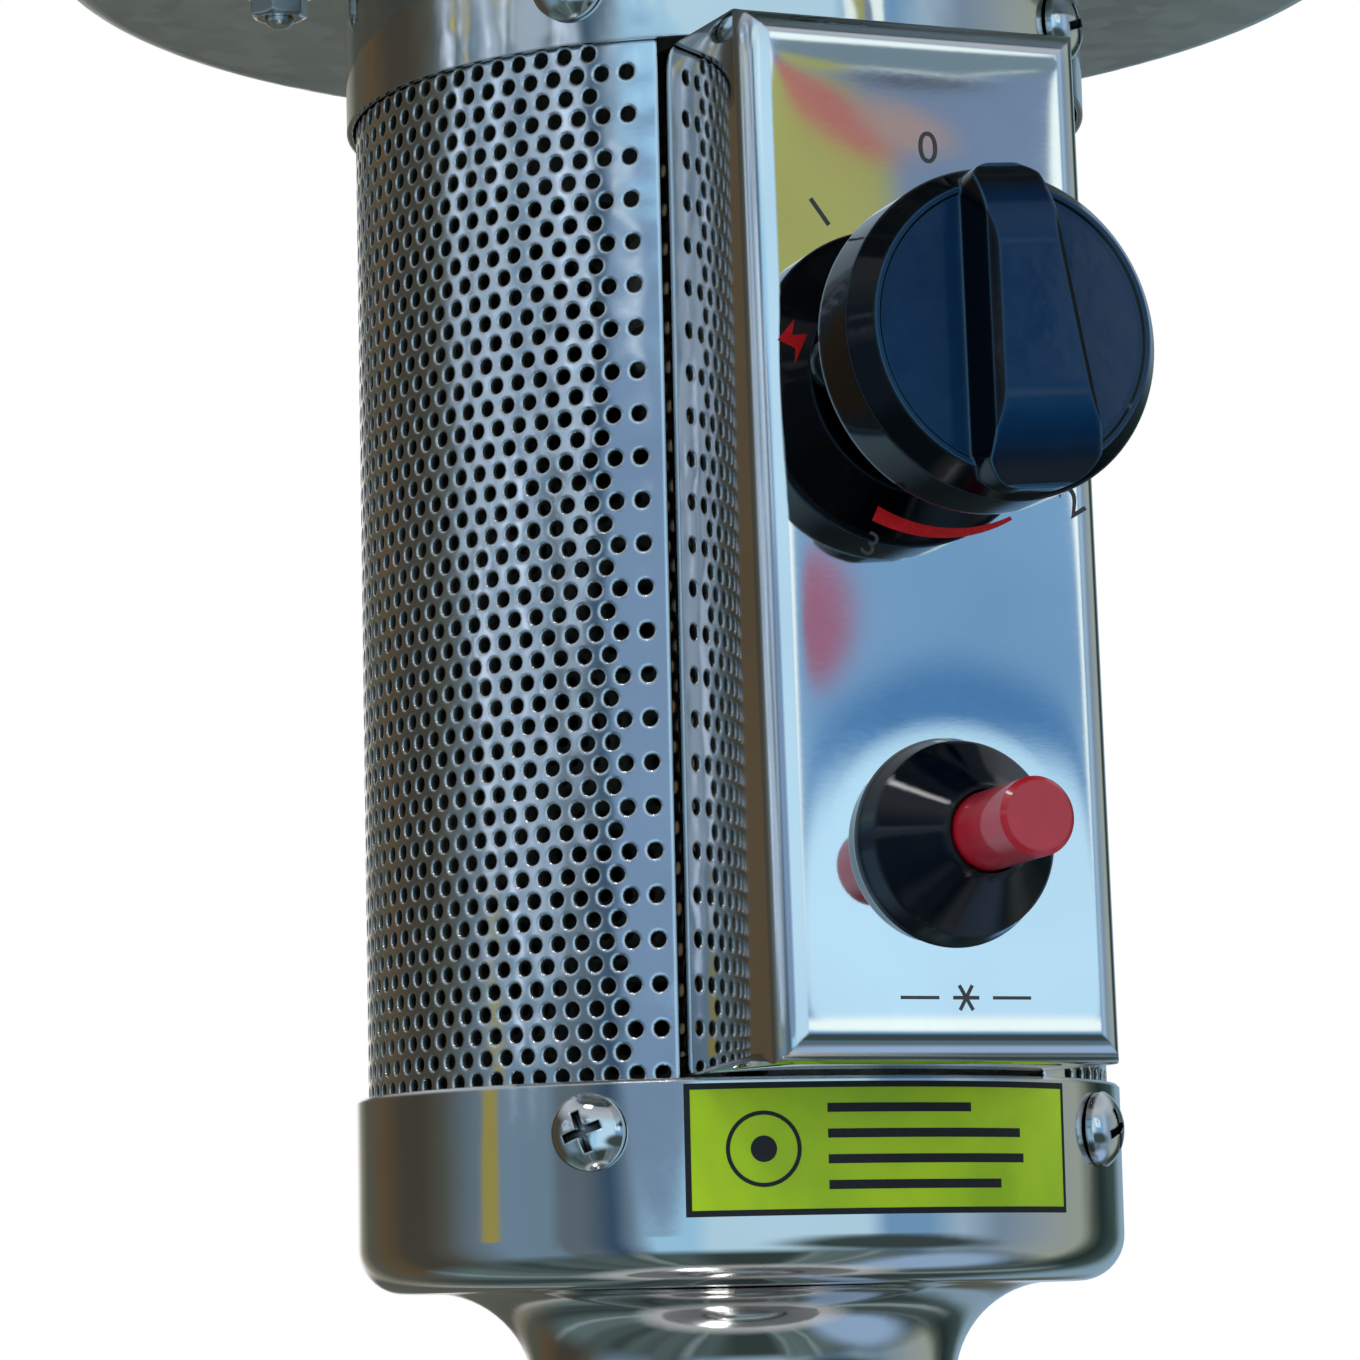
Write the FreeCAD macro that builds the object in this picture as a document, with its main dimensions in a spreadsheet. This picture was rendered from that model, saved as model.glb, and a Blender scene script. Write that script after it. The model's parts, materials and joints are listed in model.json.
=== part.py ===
"""Tabletop patio heater, gas fired, built as an assembly of separate pieces.

Millimetres and degrees. Z is up, the floor is z = 0, the post stands on the Z axis and the
control panel faces -Y. Sizes that can be set by themselves stand once, in SIZES; all other
places and lengths are worked out from them. The pieces on the control panel are drawn in the
panel's own frame: x to the right, y up the panel and z straight out of it.
"""

import FreeCAD, Part
import math
import os
import Sketcher

# Driving sizes, each with what it measures
SIZES = {
    "rim_height": (440.0, "floor to the rim of the control cup"),
    "foot_height": (6.0, "rubber foot, floor to weight"),
    "foot_radius": (11.0, "rubber foot"),
    "foot_taper": (1.0, "rubber foot, narrower at the floor"),
    "foot_circle": (104.0, "post axis to the middle of a foot"),
    "weight_radius": (122.0, "cast weight in the base"),
    "weight_thickness": (17.0, "cast weight in the base"),
    "weight_gap": (1.0, "slack between the weight and the sloping part of the base shell"),
    "base_radius": (135.0, "outer edge of the base shell"),
    "base_lift": (4.0, "floor to the lower edge of the base shell"),
    "base_sheet": (1.2, "thickness of the base shell"),
    "base_corner": (7.0, "outer bend of the base shell's edge"),
    "base_slope": (4.5, "fall of the base shell, degrees"),
    "base_flat_radius": (70.0, "flat middle of the base shell"),
    "bolt_radius": (5.0, "thread of the middle bolt"),
    "bolt_head_radius": (9.2, "middle bolt's hexagon over its corners"),
    "bolt_head_height": (6.4, "middle bolt's head"),
    "bolt_slack": (0.4, "hole over the middle bolt"),
    "bolt_proud": (4.0, "middle bolt above the plate that it holds"),
    "head_room": (1.6, "middle bolt's head to its recess"),
    "foot_plate_radius": (43.0, "plate welded to the foot of the post"),
    "foot_plate_thickness": (6.0, "plate welded to the foot of the post"),
    "cover_radius": (62.0, "spun cover over the foot of the post"),
    "cover_height": (56.0, "spun cover over the foot of the post"),
    "cover_bend": (34.0, "hollow sweep of the spun cover"),
    "cover_edge": (3.0, "upright edge of the spun cover"),
    "cover_sheet": (1.0, "thickness of the spun cover"),
    "post_radius": (25.0, "outside of the post"),
    "post_wall": (1.5, "post tube"),
    "post_gap": (0.3, "slack between the post and what slides over it"),
    "post_into_neck": (24.0, "length of the post inside the neck"),
    "cup_radius": (50.0, "outside of the control cup"),
    "cup_sheet": (1.0, "thickness of the control cup"),
    "cup_depth": (25.2, "rim of the cup to its underside"),
    "cup_corner": (6.0, "outer bend at the foot of the cup"),
    "cup_lip": (0.4, "bevel on the rim of the cup"),
    "neck_bend": (13.0, "hollow bend between the cup and its neck"),
    "neck_radius": (27.5, "neck just under its bend"),
    "neck_length": (34.0, "neck below its bend"),
    "sleeve_radius": (48.4, "outside of the perforated sleeve"),
    "sleeve_sheet": (0.8, "thickness of the perforated sleeve"),
    "sleeve_into_cup": (12.0, "overlap of the sleeve and the cup"),
    "sleeve_into_collar": (12.0, "overlap of the sleeve and the upper collar"),
    "sheet_gap": (0.3, "slack between neighbouring sheets"),
    "collar_radius": (49.6, "outside of the upper collar"),
    "collar_sheet": (0.8, "thickness of the upper collar"),
    "collar_rise": (129.8, "rim of the cup to the lower edge of the collar"),
    "tray_rise": (153.5, "rim of the cup to the underside of the burner tray"),
    "tray_radius": (91.0, "outer edge of the burner tray"),
    "tray_sheet": (1.2, "thickness of the burner tray"),
    "tray_edge": (4.5, "height of the tray's turned-up edge"),
    "ring_wall": (1.6, "inner rings that carry the sleeve"),
    "ring_gap": (0.2, "slack between the inner rings and the sleeve"),
    "ring_height": (13.0, "lower inner ring"),
    "upper_ring_lift": (0.8, "lower edge of the collar to the foot of the upper inner ring"),
    "web_thickness": (1.6, "web of the upper inner ring"),
    "web_hole_radius": (8.0, "air holes in the web"),
    "web_hole_circle": (29.0, "axis to the middle of an air hole"),
    "screw_azimuth": (43.5, "angle from the panel's middle to a case screw"),
    "cup_screw_drop": (6.3, "rim of the cup down to its screws"),
    "collar_screw_rise": (137.6, "rim of the cup up to the collar's screws"),
    "pan_head_radius": (4.75, "case screw"),
    "pan_head_height": (2.9, "case screw"),
    "screw_radius": (2.0, "case screw's thread"),
    "screw_slack": (0.15, "hole over a screw"),
    "screw_length": (6.5, "case screw under its head"),
    "cross_width": (1.1, "cross recess of a case screw"),
    "box_width": (44.6, "control box across its front"),
    "box_root_width": (47.6, "control box where it meets the sleeve"),
    "box_foot_reach": (68.9, "axis to the foot of the panel"),
    "box_head_reach": (65.0, "axis to the top of the panel"),
    "box_lift": (0.3, "rim of the cup to the underside of the control box"),
    "box_height": (128.1, "control box"),
    "box_sheet": (1.0, "thickness of the control box"),
    "box_bend": (3.4, "outer bend at the panel's edges"),
    "box_into_sleeve": (4.0, "side walls past the inside of the sleeve"),
    "knob_rise": (84.0, "foot of the panel up to the knob"),
    "knob_side": (1.0, "panel's middle line to the knob"),
    "knob_radius": (20.0, "knob"),
    "knob_face": (18.6, "panel to the front edge of the knob"),
    "knob_crown": (3.4, "bevel of the knob's front"),
    "knob_crown_radius": (17.7, "inner edge of the knob's bevel"),
    "knob_lip": (0.5, "width of the lip round the knob's face"),
    "knob_dish": (0.4, "depth of the knob's face behind its lip"),
    "knob_back_bevel": (0.8, "back edge of the knob's side"),
    "knob_rim": (8.1, "upright side of the knob"),
    "knob_hub_back": (4.8, "panel to the back of the knob"),
    "knob_hub_radius": (14.5, "back of the knob"),
    "knob_travel": (2.5, "how far the knob can be pushed in"),
    "grip_top": (28.5, "panel to the top of the knob's grip"),
    "grip_width_up": (7.6, "width of the grip's top towards its pointing end"),
    "grip_width_down": (14.6, "width of the grip's top towards its other end"),
    "grip_draft": (5.0, "lean of the grip's sides, degrees"),
    "grip_end": (0.6, "end of the grip inside the knob's side"),
    "grip_corner_up": (3.5, "rounded corners of the grip's pointing end"),
    "grip_corner_down": (5.0, "rounded corners of the grip's other end"),
    "grip_flat": (8.0, "middle of the grip to where its top starts to fall"),
    "grip_sweep": (15.0, "sweep of the grip's top at its ends"),
    "grip_edge": (0.9, "bevel along the grip's top"),
    "grip_edge_lean": (50.0, "lean of that bevel, degrees"),
    "stem_press_gap": (0.02, "slack between the knob and its stem"),
    "knob_bore_rest": (0.3, "end of the stem to the end of the knob's bore"),
    "stem_flat_gap": (0.1, "slack between the stem's flat and the knob"),
    "knob_turned": (5.0, "knob's turn at rest, degrees"),
    "stem_radius": (4.0, "valve stem"),
    "stem_gap": (0.05, "running slack around the stem"),
    "stem_in_knob": (12.0, "stem inside the knob"),
    "stem_in_valve": (12.0, "stem inside the valve's block"),
    "stem_hole_gap": (1.5, "slack of the stem in the panel"),
    "stem_shoulder": (1.6, "stem's shoulder past the stem's side"),
    "stem_shoulder_height": (1.0, "stem's shoulder along the stem"),
    "stem_shoulder_rest": (0.3, "lip of the nose to the stem's shoulder"),
    "thread_gap": (0.05, "slack between a thread and what it screws into, and under a head"),
    "overlap": (1.0, "how far joined solids and cutters run into each other"),
    "valve_seat_gap": (0.1, "slack between the panel and the valve's nose"),
    "valve_screw_head": (1.8, "heads of the valve's screws"),
    "nose_length": (11.0, "valve's nose"),
    "nose_radius": (9.5, "valve's nose"),
    "nose_wall": (1.5, "valve's nose"),
    "nose_lip": (1.2, "lip at the front of the valve's nose"),
    "valve_screw_room": (1.2, "valve's nose to the shank of its screws"),
    "ear_margin": (1.5, "metal outside the valve's screws"),
    "spring_seat_radius": (7.4, "loose washer on the stem"),
    "spring_seat_thickness": (1.2, "loose washer on the stem"),
    "spring_radius": (6.6, "stem spring"),
    "spring_wall": (1.0, "stem spring"),
    "spring_rest": (0.1, "slack at the end of a spring"),
    "block_width": (37.0, "valve block, left to right"),
    "block_height": (28.0, "valve block, along the panel"),
    "block_depth": (22.0, "valve block, front to back"),
    "port_radius": (5.0, "threaded ports of the valve"),
    "port_length": (4.0, "threaded ports of the valve"),
    "inlet_port_side": (-14.0, "valve's middle to its inlet port"),
    "pilot_port_side": (12.0, "valve's middle to its pilot port"),
    "sensor_port_side": (-6.0, "valve's middle to its flame sensor's port"),
    "igniter_rise": (26.2, "foot of the panel up to the igniter"),
    "igniter_side": (0.35, "panel's middle line to the igniter"),
    "bezel_radius": (12.6, "igniter's bezel on the panel"),
    "bezel_rim_radius": (11.7, "igniter's bezel at the foot of its cone"),
    "bezel_rim": (3.8, "panel to the foot of the cone"),
    "bezel_nose": (10.7, "panel to the nose of the bezel"),
    "bezel_nose_radius": (5.7, "nose of the bezel"),
    "bezel_hollow": (4.4, "depth of the bezel's thread"),
    "bezel_foot": (0.8, "height of the bezel's foot"),
    "bezel_soft": (0.3, "small bevels of the bezel"),
    "seat_gap": (0.02, "slack under the bezel and the label"),
    "button_radius": (4.7, "igniter's button"),
    "button_tip": (24.0, "panel to the tip of the button"),
    "button_bevel": (0.6, "tip of the button"),
    "button_gap": (0.3, "slack around the button"),
    "button_inside": (6.0, "button behind the panel"),
    "button_spring_wall": (0.9, "igniter's spring"),
    "button_spring_gap": (0.3, "side of the button to the outside of its spring"),
    "button_travel": (8.0, "how far the button can be pushed in"),
    "barrel_radius": (7.5, "igniter's threaded barrel"),
    "barrel_depth": (28.0, "igniter's barrel behind the panel"),
    "barrel_hole_gap": (0.3, "slack of the barrel in the panel"),
    "barrel_floor": (20.0, "panel to the floor of the barrel's bore"),
    "terminal_radius": (5.0, "igniter's rear terminal"),
    "terminal_length": (9.0, "igniter's rear terminal"),
    "lock_nut_radius": (11.5, "igniter's nut over its corners"),
    "lock_nut_height": (4.0, "igniter's nut"),
    "inlet_height": (112.0, "floor to the gas inlet"),
    "inlet_thread_radius": (6.5, "gas inlet's outer thread"),
    "inlet_thread_length": (13.0, "gas inlet's outer thread"),
    "inlet_bore_radius": (3.0, "gas inlet's bore"),
    "inlet_hex_radius": (9.8, "gas inlet's hexagon over its corners"),
    "inlet_hex_thickness": (6.0, "gas inlet's hexagon"),
    "inlet_seat_gap": (0.2, "post's wall to the gas inlet's hexagon"),
    "inlet_nut_gap": (0.15, "post's wall to the gas inlet's nut"),
    "inlet_nut_thickness": (4.5, "gas inlet's nut inside the post"),
    "inlet_tail": (9.0, "gas inlet behind the post's wall"),
    "supply_radius": (3.0, "gas pipe up the post"),
    "supply_bend": (13.0, "bends of the gas pipe"),
    "supply_clear": (12.0, "igniter's axis up to the gas pipe's upper bend"),
    "burner_pipe_radius": (3.0, "pipe from the valve to the jet"),
    "burner_pipe_bend": (9.0, "bend of the pipe to the jet"),
    "mixer_radius": (12.0, "mixing tube"),
    "mixer_wall": (1.2, "mixing tube"),
    "mixer_gap": (0.1, "slack of the mixing tube on the jet and in the burner head"),
    "mixer_foot_rise": (102.0, "rim of the cup to the foot of the mixing tube"),
    "mixer_window": (14.0, "air windows of the mixing tube"),
    "mixer_window_lift": (12.0, "foot of the mixing tube to its windows"),
    "mixer_top": (34.0, "burner tray up to the top of the mixing tube"),
    "jet_height": (9.0, "gas jet's hexagon and plug"),
    "jet_radius": (10.0, "gas jet's plug"),
    "burner_radius": (28.0, "burner head"),
    "burner_sheet": (1.2, "burner head"),
    "burner_lift": (18.0, "burner tray to the underside of the burner head"),
    "burner_height": (30.0, "burner head"),
    "screen_radius": (51.0, "emitter screen"),
    "screen_sheet": (0.8, "emitter screen"),
    "screen_height": (182.0, "emitter screen"),
    "screen_flange": (5.0, "emitter screen's foot flange"),
    "cap_gap": (0.4, "slack between the cap and the emitter screen"),
    "cap_flat_radius": (12.0, "flat middle of the emitter's cap"),
    "cap_bend": (170.0, "sweep of the emitter's cap"),
    "cap_skirt": (8.0, "upright edge of the emitter's cap"),
    "cap_crown": (9.0, "rise of the emitter's cap"),
    "cap_sheet": (1.0, "cap on the emitter screen"),
    "stay_circle": (60.0, "axis to the three stays of the reflector"),
    "stay_radius": (3.5, "stays of the reflector"),
    "stay_length": (246.0, "stays between the tray and the reflector"),
    "stud_radius": (2.0, "threaded ends of the stays"),
    "stud_bevel": (0.6, "bevelled end of a stay's stud"),
    "stud_length": (6.5, "threaded ends of the stays"),
    "nut_radius": (4.05, "nuts on the stays, over their corners"),
    "nut_height": (3.4, "nuts on the stays"),
    "nut_bevel": (0.5, "bevel on the corners of the tray's nuts"),
    "washer_radius": (5.0, "washers under the nuts of the stays"),
    "washer_thickness": (0.8, "washers under the nuts of the stays"),
    "reflector_radius": (250.0, "outer edge of the reflector"),
    "reflector_flat_radius": (92.0, "flat middle of the reflector"),
    "reflector_fall": (52.0, "middle of the reflector down to its edge"),
    "reflector_bend": (330.0, "sweep of the reflector's skirt"),
    "reflector_edge": (7.0, "turned-down edge of the reflector"),
    "reflector_sheet": (1.0, "thickness of the reflector"),
    "label_start": (-29.8, "left end of the label, degrees from the panel's middle"),
    "label_sweep": (61.6, "length of the label round the cup, degrees"),
    "label_drop": (0.8, "rim of the cup to the top of the label"),
    "label_height": (16.1, "label"),
    "label_thickness": (0.15, "label"),
    "pilot_side": (9.0, "heater's middle plane to the pilot and the flame sensor"),
    "pilot_reach": (34.0, "axis to the pilot's line"),
    "pilot_tube_radius": (1.6, "pilot's gas tube"),
    "pilot_tube_bend": (5.0, "bends of the pilot's tube"),
    "pilot_head_radius": (4.0, "pilot burner"),
    "pilot_head_length": (22.0, "pilot burner"),
    "sensor_radius": (1.2, "flame sensor's lead"),
    "sensor_tip_radius": (2.6, "flame sensor's tip"),
    "sensor_tip_length": (26.0, "flame sensor's tip"),
    "spark_lead_radius": (1.8, "spark lead"),
    "spark_lead_bend": (6.0, "bends of the spark lead"),
    "spark_lead_side": (28.0, "heater's middle plane to the upright run of the spark lead"),
    "spark_lead_back": (14.0, "axis back to the upright run of the spark lead"),
    "electrode_radius": (3.0, "ceramic sleeve of the spark electrode"),
    "electrode_length": (24.0, "ceramic sleeve of the spark electrode"),
    "wire_radius": (0.8, "bare tip of the electrode"),
    "wire_length": (7.0, "bare tip of the electrode"),
    "pipe_end_gap": (0.15, "slack at the ends of the pipes and leads"),
    "grommet_gap": (0.3, "slack of the tubes in the tray and the web"),
    "switch_width": (16.0, "tilt switch, left to right"),
    "switch_depth": (12.0, "tilt switch, front to back"),
    "switch_height": (20.0, "tilt switch"),
    "switch_gap": (0.3, "slack between the tilt switch and the sleeve"),
    "switch_rise": (92.0, "rim of the cup to the foot of the tilt switch"),
}

doc = FreeCAD.newDocument("patio_heater")
sheet = doc.addObject("Spreadsheet::Sheet", "Sizes")
pieces = []


class Size:
    """A length or an angle: its number, and the formula that ties it to the sheet."""

    def __init__(self, number, formula=None):
        self.number = float(number)
        self.formula = formula or repr(self.number)

    def __add__(self, other):
        other = as_size(other)
        return Size(self.number + other.number, f"({self.formula} + {other.formula})")

    def __sub__(self, other):
        other = as_size(other)
        return Size(self.number - other.number, f"({self.formula} - {other.formula})")

    def __mul__(self, other):
        other = as_size(other)
        return Size(self.number * other.number, f"({self.formula} * {other.formula})")

    def __truediv__(self, other):
        other = as_size(other)
        return Size(self.number / other.number, f"({self.formula} / {other.formula})")

    def __neg__(self):
        return Size(-self.number, f"(0 - {self.formula})")

    def __radd__(self, other):
        return as_size(other) + self

    def __rsub__(self, other):
        return as_size(other) - self

    def __rmul__(self, other):
        return as_size(other) * self

    def __float__(self):
        return self.number


def as_size(value):
    return value if isinstance(value, Size) else Size(value)


def sine(angle):
    return Size(math.sin(math.radians(angle.number)), f"sin({angle.formula})")


def cosine(angle):
    return Size(math.cos(math.radians(angle.number)), f"cos({angle.formula})")


def tangent(angle):
    return Size(math.tan(math.radians(angle.number)), f"tan({angle.formula})")


def angle_of_sine(ratio):
    return Size(math.degrees(math.asin(ratio.number)), f"(asin({ratio.formula}) / 1 deg)")


def angle_of_tangent(ratio):
    return Size(math.degrees(math.atan(ratio.number)), f"(atan({ratio.formula}) / 1 deg)")


def root(square):
    return Size(math.sqrt(square.number), f"sqrt({square.formula})")


def fill_sheet():
    """Writes every driving size to the sheet: its name, its number and what it measures."""
    sizes = {}
    for row, (name, (number, meaning)) in enumerate(SIZES.items(), start=1):
        sheet.set(f"A{row}", name)
        sheet.set(f"B{row}", str(number))
        sheet.set(f"C{row}", meaning)
        sheet.setAlias(f"B{row}", name)
        sizes[name] = Size(number, f"Sizes.{name}")
    doc.recompute()
    return sizes


S = fill_sheet()


def vector(x, y, z):
    return FreeCAD.Vector(float(x), float(y), float(z))


def bind(thing, name, size):
    """Sets a property to a size, and ties it to the sheet."""
    thing.setExpression(name, as_size(size).formula)


def place(thing, x=0, y=0, z=0, axis=(0, 0, 1), turn=0):
    """Puts a piece at a point, turned about an axis, with all four numbers tied to the sheet."""
    x, y, z, turn = (as_size(value) for value in (x, y, z, turn))
    rotation = FreeCAD.Rotation(FreeCAD.Vector(*axis), turn.number)
    thing.Placement = FreeCAD.Placement(vector(x, y, z), rotation)
    bind(thing, "Placement.Base.x", x)
    bind(thing, "Placement.Base.y", y)
    bind(thing, "Placement.Base.z", z)
    bind(thing, "Placement.Rotation.Angle", turn)
    return thing


def keep(label, thing):
    """Gives a piece its name and lists it for writing."""
    thing.Label = label
    pieces.append((label, thing))
    return thing


def new_body(name):
    return doc.addObject("PartDesign::Body", name)


def new_sketch(body, role):
    """A sketch on one of a body's own origin planes."""
    sketch = body.newObject("Sketcher::SketchObject", body.Name + "_sketch")
    plane = [feature for feature in body.Origin.OriginFeatures if feature.Role == role][0]
    sketch.AttachmentSupport = [(plane, "")]
    sketch.MapMode = "FlatFace"
    return sketch


def pin_point(sketch, edge, end, x, y):
    """Ties one point of a sketch to its distances from the origin."""
    across = sketch.addConstraint(Sketcher.Constraint("DistanceX", -1, 1, edge, end, x.number))
    sketch.setExpression(f"Constraints[{across}]", x.formula)
    along = sketch.addConstraint(Sketcher.Constraint("DistanceY", -1, 1, edge, end, y.number))
    sketch.setExpression(f"Constraints[{along}]", y.formula)


def pin_radius(sketch, edge, radius):
    index = sketch.addConstraint(Sketcher.Constraint("Radius", edge, radius.number))
    sketch.setExpression(f"Constraints[{index}]", radius.formula)


def draw_outline(sketch, corners):
    """Draws a closed outline. A corner is (x, y), or (x, y, radius, side) where an arc of that
    radius runs to the next corner, with its centre on the left or the right of the way."""
    points = [(as_size(corner[0]), as_size(corner[1])) for corner in corners]
    count = len(corners)
    edges = []
    for index, corner in enumerate(corners):
        start = vector(*points[index], 0)
        end = vector(*points[(index + 1) % count], 0)
        if len(corner) == 2:
            edges.append((sketch.addGeometry(Part.LineSegment(start, end), False), 1, 2))
            continue
        radius, side = as_size(corner[2]), corner[3]
        chord = end - start
        height = math.sqrt(max(radius.number ** 2 - chord.Length ** 2 / 4, 0))
        left = FreeCAD.Vector(-chord.y, chord.x, 0).normalize()
        centre = (start + end) / 2 + left * (height if side == "left" else -height)
        first, last = (start, end) if side == "left" else (end, start)
        angles = [math.atan2(point.y - centre.y, point.x - centre.x) for point in (first, last)]
        circle = Part.Circle(centre, FreeCAD.Vector(0, 0, 1), radius.number)
        arc = sketch.addGeometry(Part.ArcOfCircle(circle, angles[0], angles[1]), False)
        edges.append((arc, 1, 2) if side == "left" else (arc, 2, 1))
        pin_radius(sketch, arc, radius)
    for index, (edge, start, end) in enumerate(edges):
        following = edges[(index + 1) % count]
        sketch.addConstraint(Sketcher.Constraint("Coincident", edge, end, following[0], following[1]))
        pin_point(sketch, edge, start, *points[index])


def turned(name, corners, sweep=None):
    """A body of revolution about Z from an outline in the XZ plane. A part turn of sweep degrees
    lies evenly on both sides of +X."""
    body = new_body(name)
    sketch = new_sketch(body, "XZ_Plane")
    draw_outline(sketch, corners)
    turn = body.newObject("PartDesign::Revolution", name + "_turn")
    turn.Profile = sketch
    turn.ReferenceAxis = (sketch, ["V_Axis"])
    if sweep is None:
        turn.Angle = 360
    else:
        turn.Midplane = True
        bind(turn, "Angle", sweep)
    return body


def padded(name, corners, height, draft=None):
    """A body raised along Z from an outline in the XY plane, its sides leaning in by draft."""
    body = new_body(name)
    sketch = new_sketch(body, "XY_Plane")
    draw_outline(sketch, corners)
    pad = body.newObject("PartDesign::Pad", name + "_pad")
    pad.Profile = sketch
    bind(pad, "Length", height)
    if draft is not None:
        bind(pad, "TaperAngle", -draft)
    return body


def hexagon(name, radius, height):
    """A six-sided prism along Z, its radius measured over the corners."""
    radius = as_size(radius)
    half = radius / 2
    flat = radius * (math.sqrt(3) / 2)
    corners = [(radius, 0), (half, flat), (-half, flat), (-radius, 0), (-half, -flat), (half, -flat)]
    return padded(name, corners, height)


def cylinder(name, radius, height):
    rod = doc.addObject("Part::Cylinder", name)
    bind(rod, "Radius", radius)
    bind(rod, "Height", height)
    return rod


def block(name, width, depth, height):
    brick = doc.addObject("Part::Box", name)
    bind(brick, "Length", width)
    bind(brick, "Width", depth)
    bind(brick, "Height", height)
    return brick


def cut_from(thing, tools):
    """Takes every tool away from a piece."""
    for tool in tools:
        cut = doc.addObject("Part::Cut", thing.Name + "_cut")
        cut.Base = thing
        cut.Tool = tool
        thing = cut
    return thing


def joined(name, things):
    fuse = doc.addObject("Part::MultiFuse", name)
    fuse.Shapes = things
    return fuse


def radial_placement(radius, azimuth, height):
    """At an angle from the panel's middle, on a radius, with Z turned to point outwards."""
    angle = math.radians(float(azimuth))
    spot = FreeCAD.Vector(float(radius) * math.sin(angle), -float(radius) * math.cos(angle), float(height))
    outwards = FreeCAD.Rotation(FreeCAD.Vector(1, 0, 0), 90)
    round_axis = FreeCAD.Rotation(FreeCAD.Vector(0, 0, 1), math.degrees(angle))
    return FreeCAD.Placement(spot, round_axis * outwards)


def upright_placement(radius, azimuth, height):
    """At an angle from the panel's middle, on a radius, with Z still up."""
    angle = math.radians(float(azimuth))
    spot = FreeCAD.Vector(float(radius) * math.sin(angle), -float(radius) * math.cos(angle), float(height))
    return FreeCAD.Placement(spot, FreeCAD.Rotation())


def stay_spots(height):
    """Where the three stays pass a height, the first of them above the panel's middle."""
    return [upright_placement(S["stay_circle"], azimuth, height) for azimuth in (0, 120, 240)]


def copies(label, source, placements):
    """One piece that stands for several alike: a solid at each placement."""
    doc.recompute()
    shapes = []
    for placement in placements:
        shape = source.Shape.copy()
        shape.Placement = placement.multiply(source.Placement)
        shapes.append(shape)
    group = doc.addObject("Part::Feature", label)
    group.Shape = Part.makeCompound(shapes)
    group.Placement = FreeCAD.Placement()
    return keep(label, group)


def four_azimuths(azimuth):
    """The same angle on both sides of the panel's middle, in front and behind."""
    number = float(azimuth)
    return (number, -number, 180 - number, 180 + number)


def pipe(label, route, radius, bend):
    """A round pipe along straight runs joined by arcs that touch both runs."""
    points = [vector(*point) for point in route]
    edges = []
    start = points[0]
    for before, corner, after in zip(points, points[1:], points[2:]):
        back = (before - corner).normalize()
        ahead = (after - corner).normalize()
        half = back.getAngle(ahead) / 2
        setback = float(bend) / math.tan(half)
        entry = corner + back * setback
        leave = corner + ahead * setback
        inner = (back + ahead).normalize()
        centre = corner + inner * (float(bend) / math.sin(half))
        middle = centre - inner * float(bend)
        edges.append(Part.LineSegment(start, entry).toShape())
        edges.append(Part.Arc(entry, middle, leave).toShape())
        start = leave
    edges.append(Part.LineSegment(start, points[-1]).toShape())
    length = sum(edge.Length for edge in edges)
    direction = points[1] - points[0]
    ring = Part.Wire([Part.makeCircle(float(radius), points[0], direction)])
    solid = Part.Wire(edges).makePipeShell([ring], True, False)
    expected = math.pi * float(radius) ** 2 * length
    if abs(solid.Volume - expected) > 0.01 * expected:
        raise RuntimeError(f"{label} has the wrong volume: {solid.Volume} and not {expected}")
    tube = doc.addObject("Part::Feature", label)
    tube.Shape = solid
    return tube


def check_objects():
    """Stops where an object failed to build or a piece isn't a sound solid."""
    for thing in doc.Objects:
        if "Invalid" in thing.State or "Error" in thing.State:
            raise RuntimeError(f"{thing.Label} did not build: {thing.State}")
    for label, thing in pieces:
        shape = thing.Shape
        if shape.isNull() or not shape.isValid() or not shape.Solids:
            raise RuntimeError(f"{label} is not a sound solid")


# Slack between the end of a pipe or a lead and what it runs to
pipe_gap = S["pipe_end_gap"]

# Heights that several pieces share
tray_height = S["rim_height"] + S["tray_rise"]
tray_top = tray_height + S["tray_sheet"]
weight_top = S["foot_height"] + S["weight_thickness"]
base_top = weight_top + S["base_sheet"]
foot_plate_top = base_top + S["foot_plate_thickness"]
neck_foot = S["rim_height"] - S["cup_depth"] - S["neck_bend"] - S["neck_length"] + S["cup_sheet"]
post_top = neck_foot + S["post_into_neck"]
sleeve_inside = S["sleeve_radius"] - S["sleeve_sheet"]
ring_radius = sleeve_inside - S["ring_gap"]
reflector_height = tray_top + S["stay_length"]

# The panel's frame
box_foot = S["rim_height"] + S["box_lift"]
panel_lean = angle_of_tangent((S["box_foot_reach"] - S["box_head_reach"]) / S["box_height"])
panel_turn = 90 - panel_lean


def panel_point(side, rise, out):
    """A point given by its distances right of, up and out of the foot of the panel."""
    side, rise, out = as_size(side), as_size(rise), as_size(out)
    y = -S["box_foot_reach"] + rise * sine(panel_lean) - out * cosine(panel_lean)
    z = box_foot + rise * cosine(panel_lean) + out * sine(panel_lean)
    return side, y, z


def on_panel(thing, side, rise, out=0):
    """Puts a piece on the panel, its Z pointing straight out of it."""
    return place(thing, *panel_point(side, rise, out), axis=(1, 0, 0), turn=panel_turn)


def on_knob_axis(thing, out=0):
    return on_panel(thing, S["knob_side"], S["knob_rise"], out)


def on_igniter_axis(thing, out=0):
    return on_panel(thing, S["igniter_side"], S["igniter_rise"], out)


# Base

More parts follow.
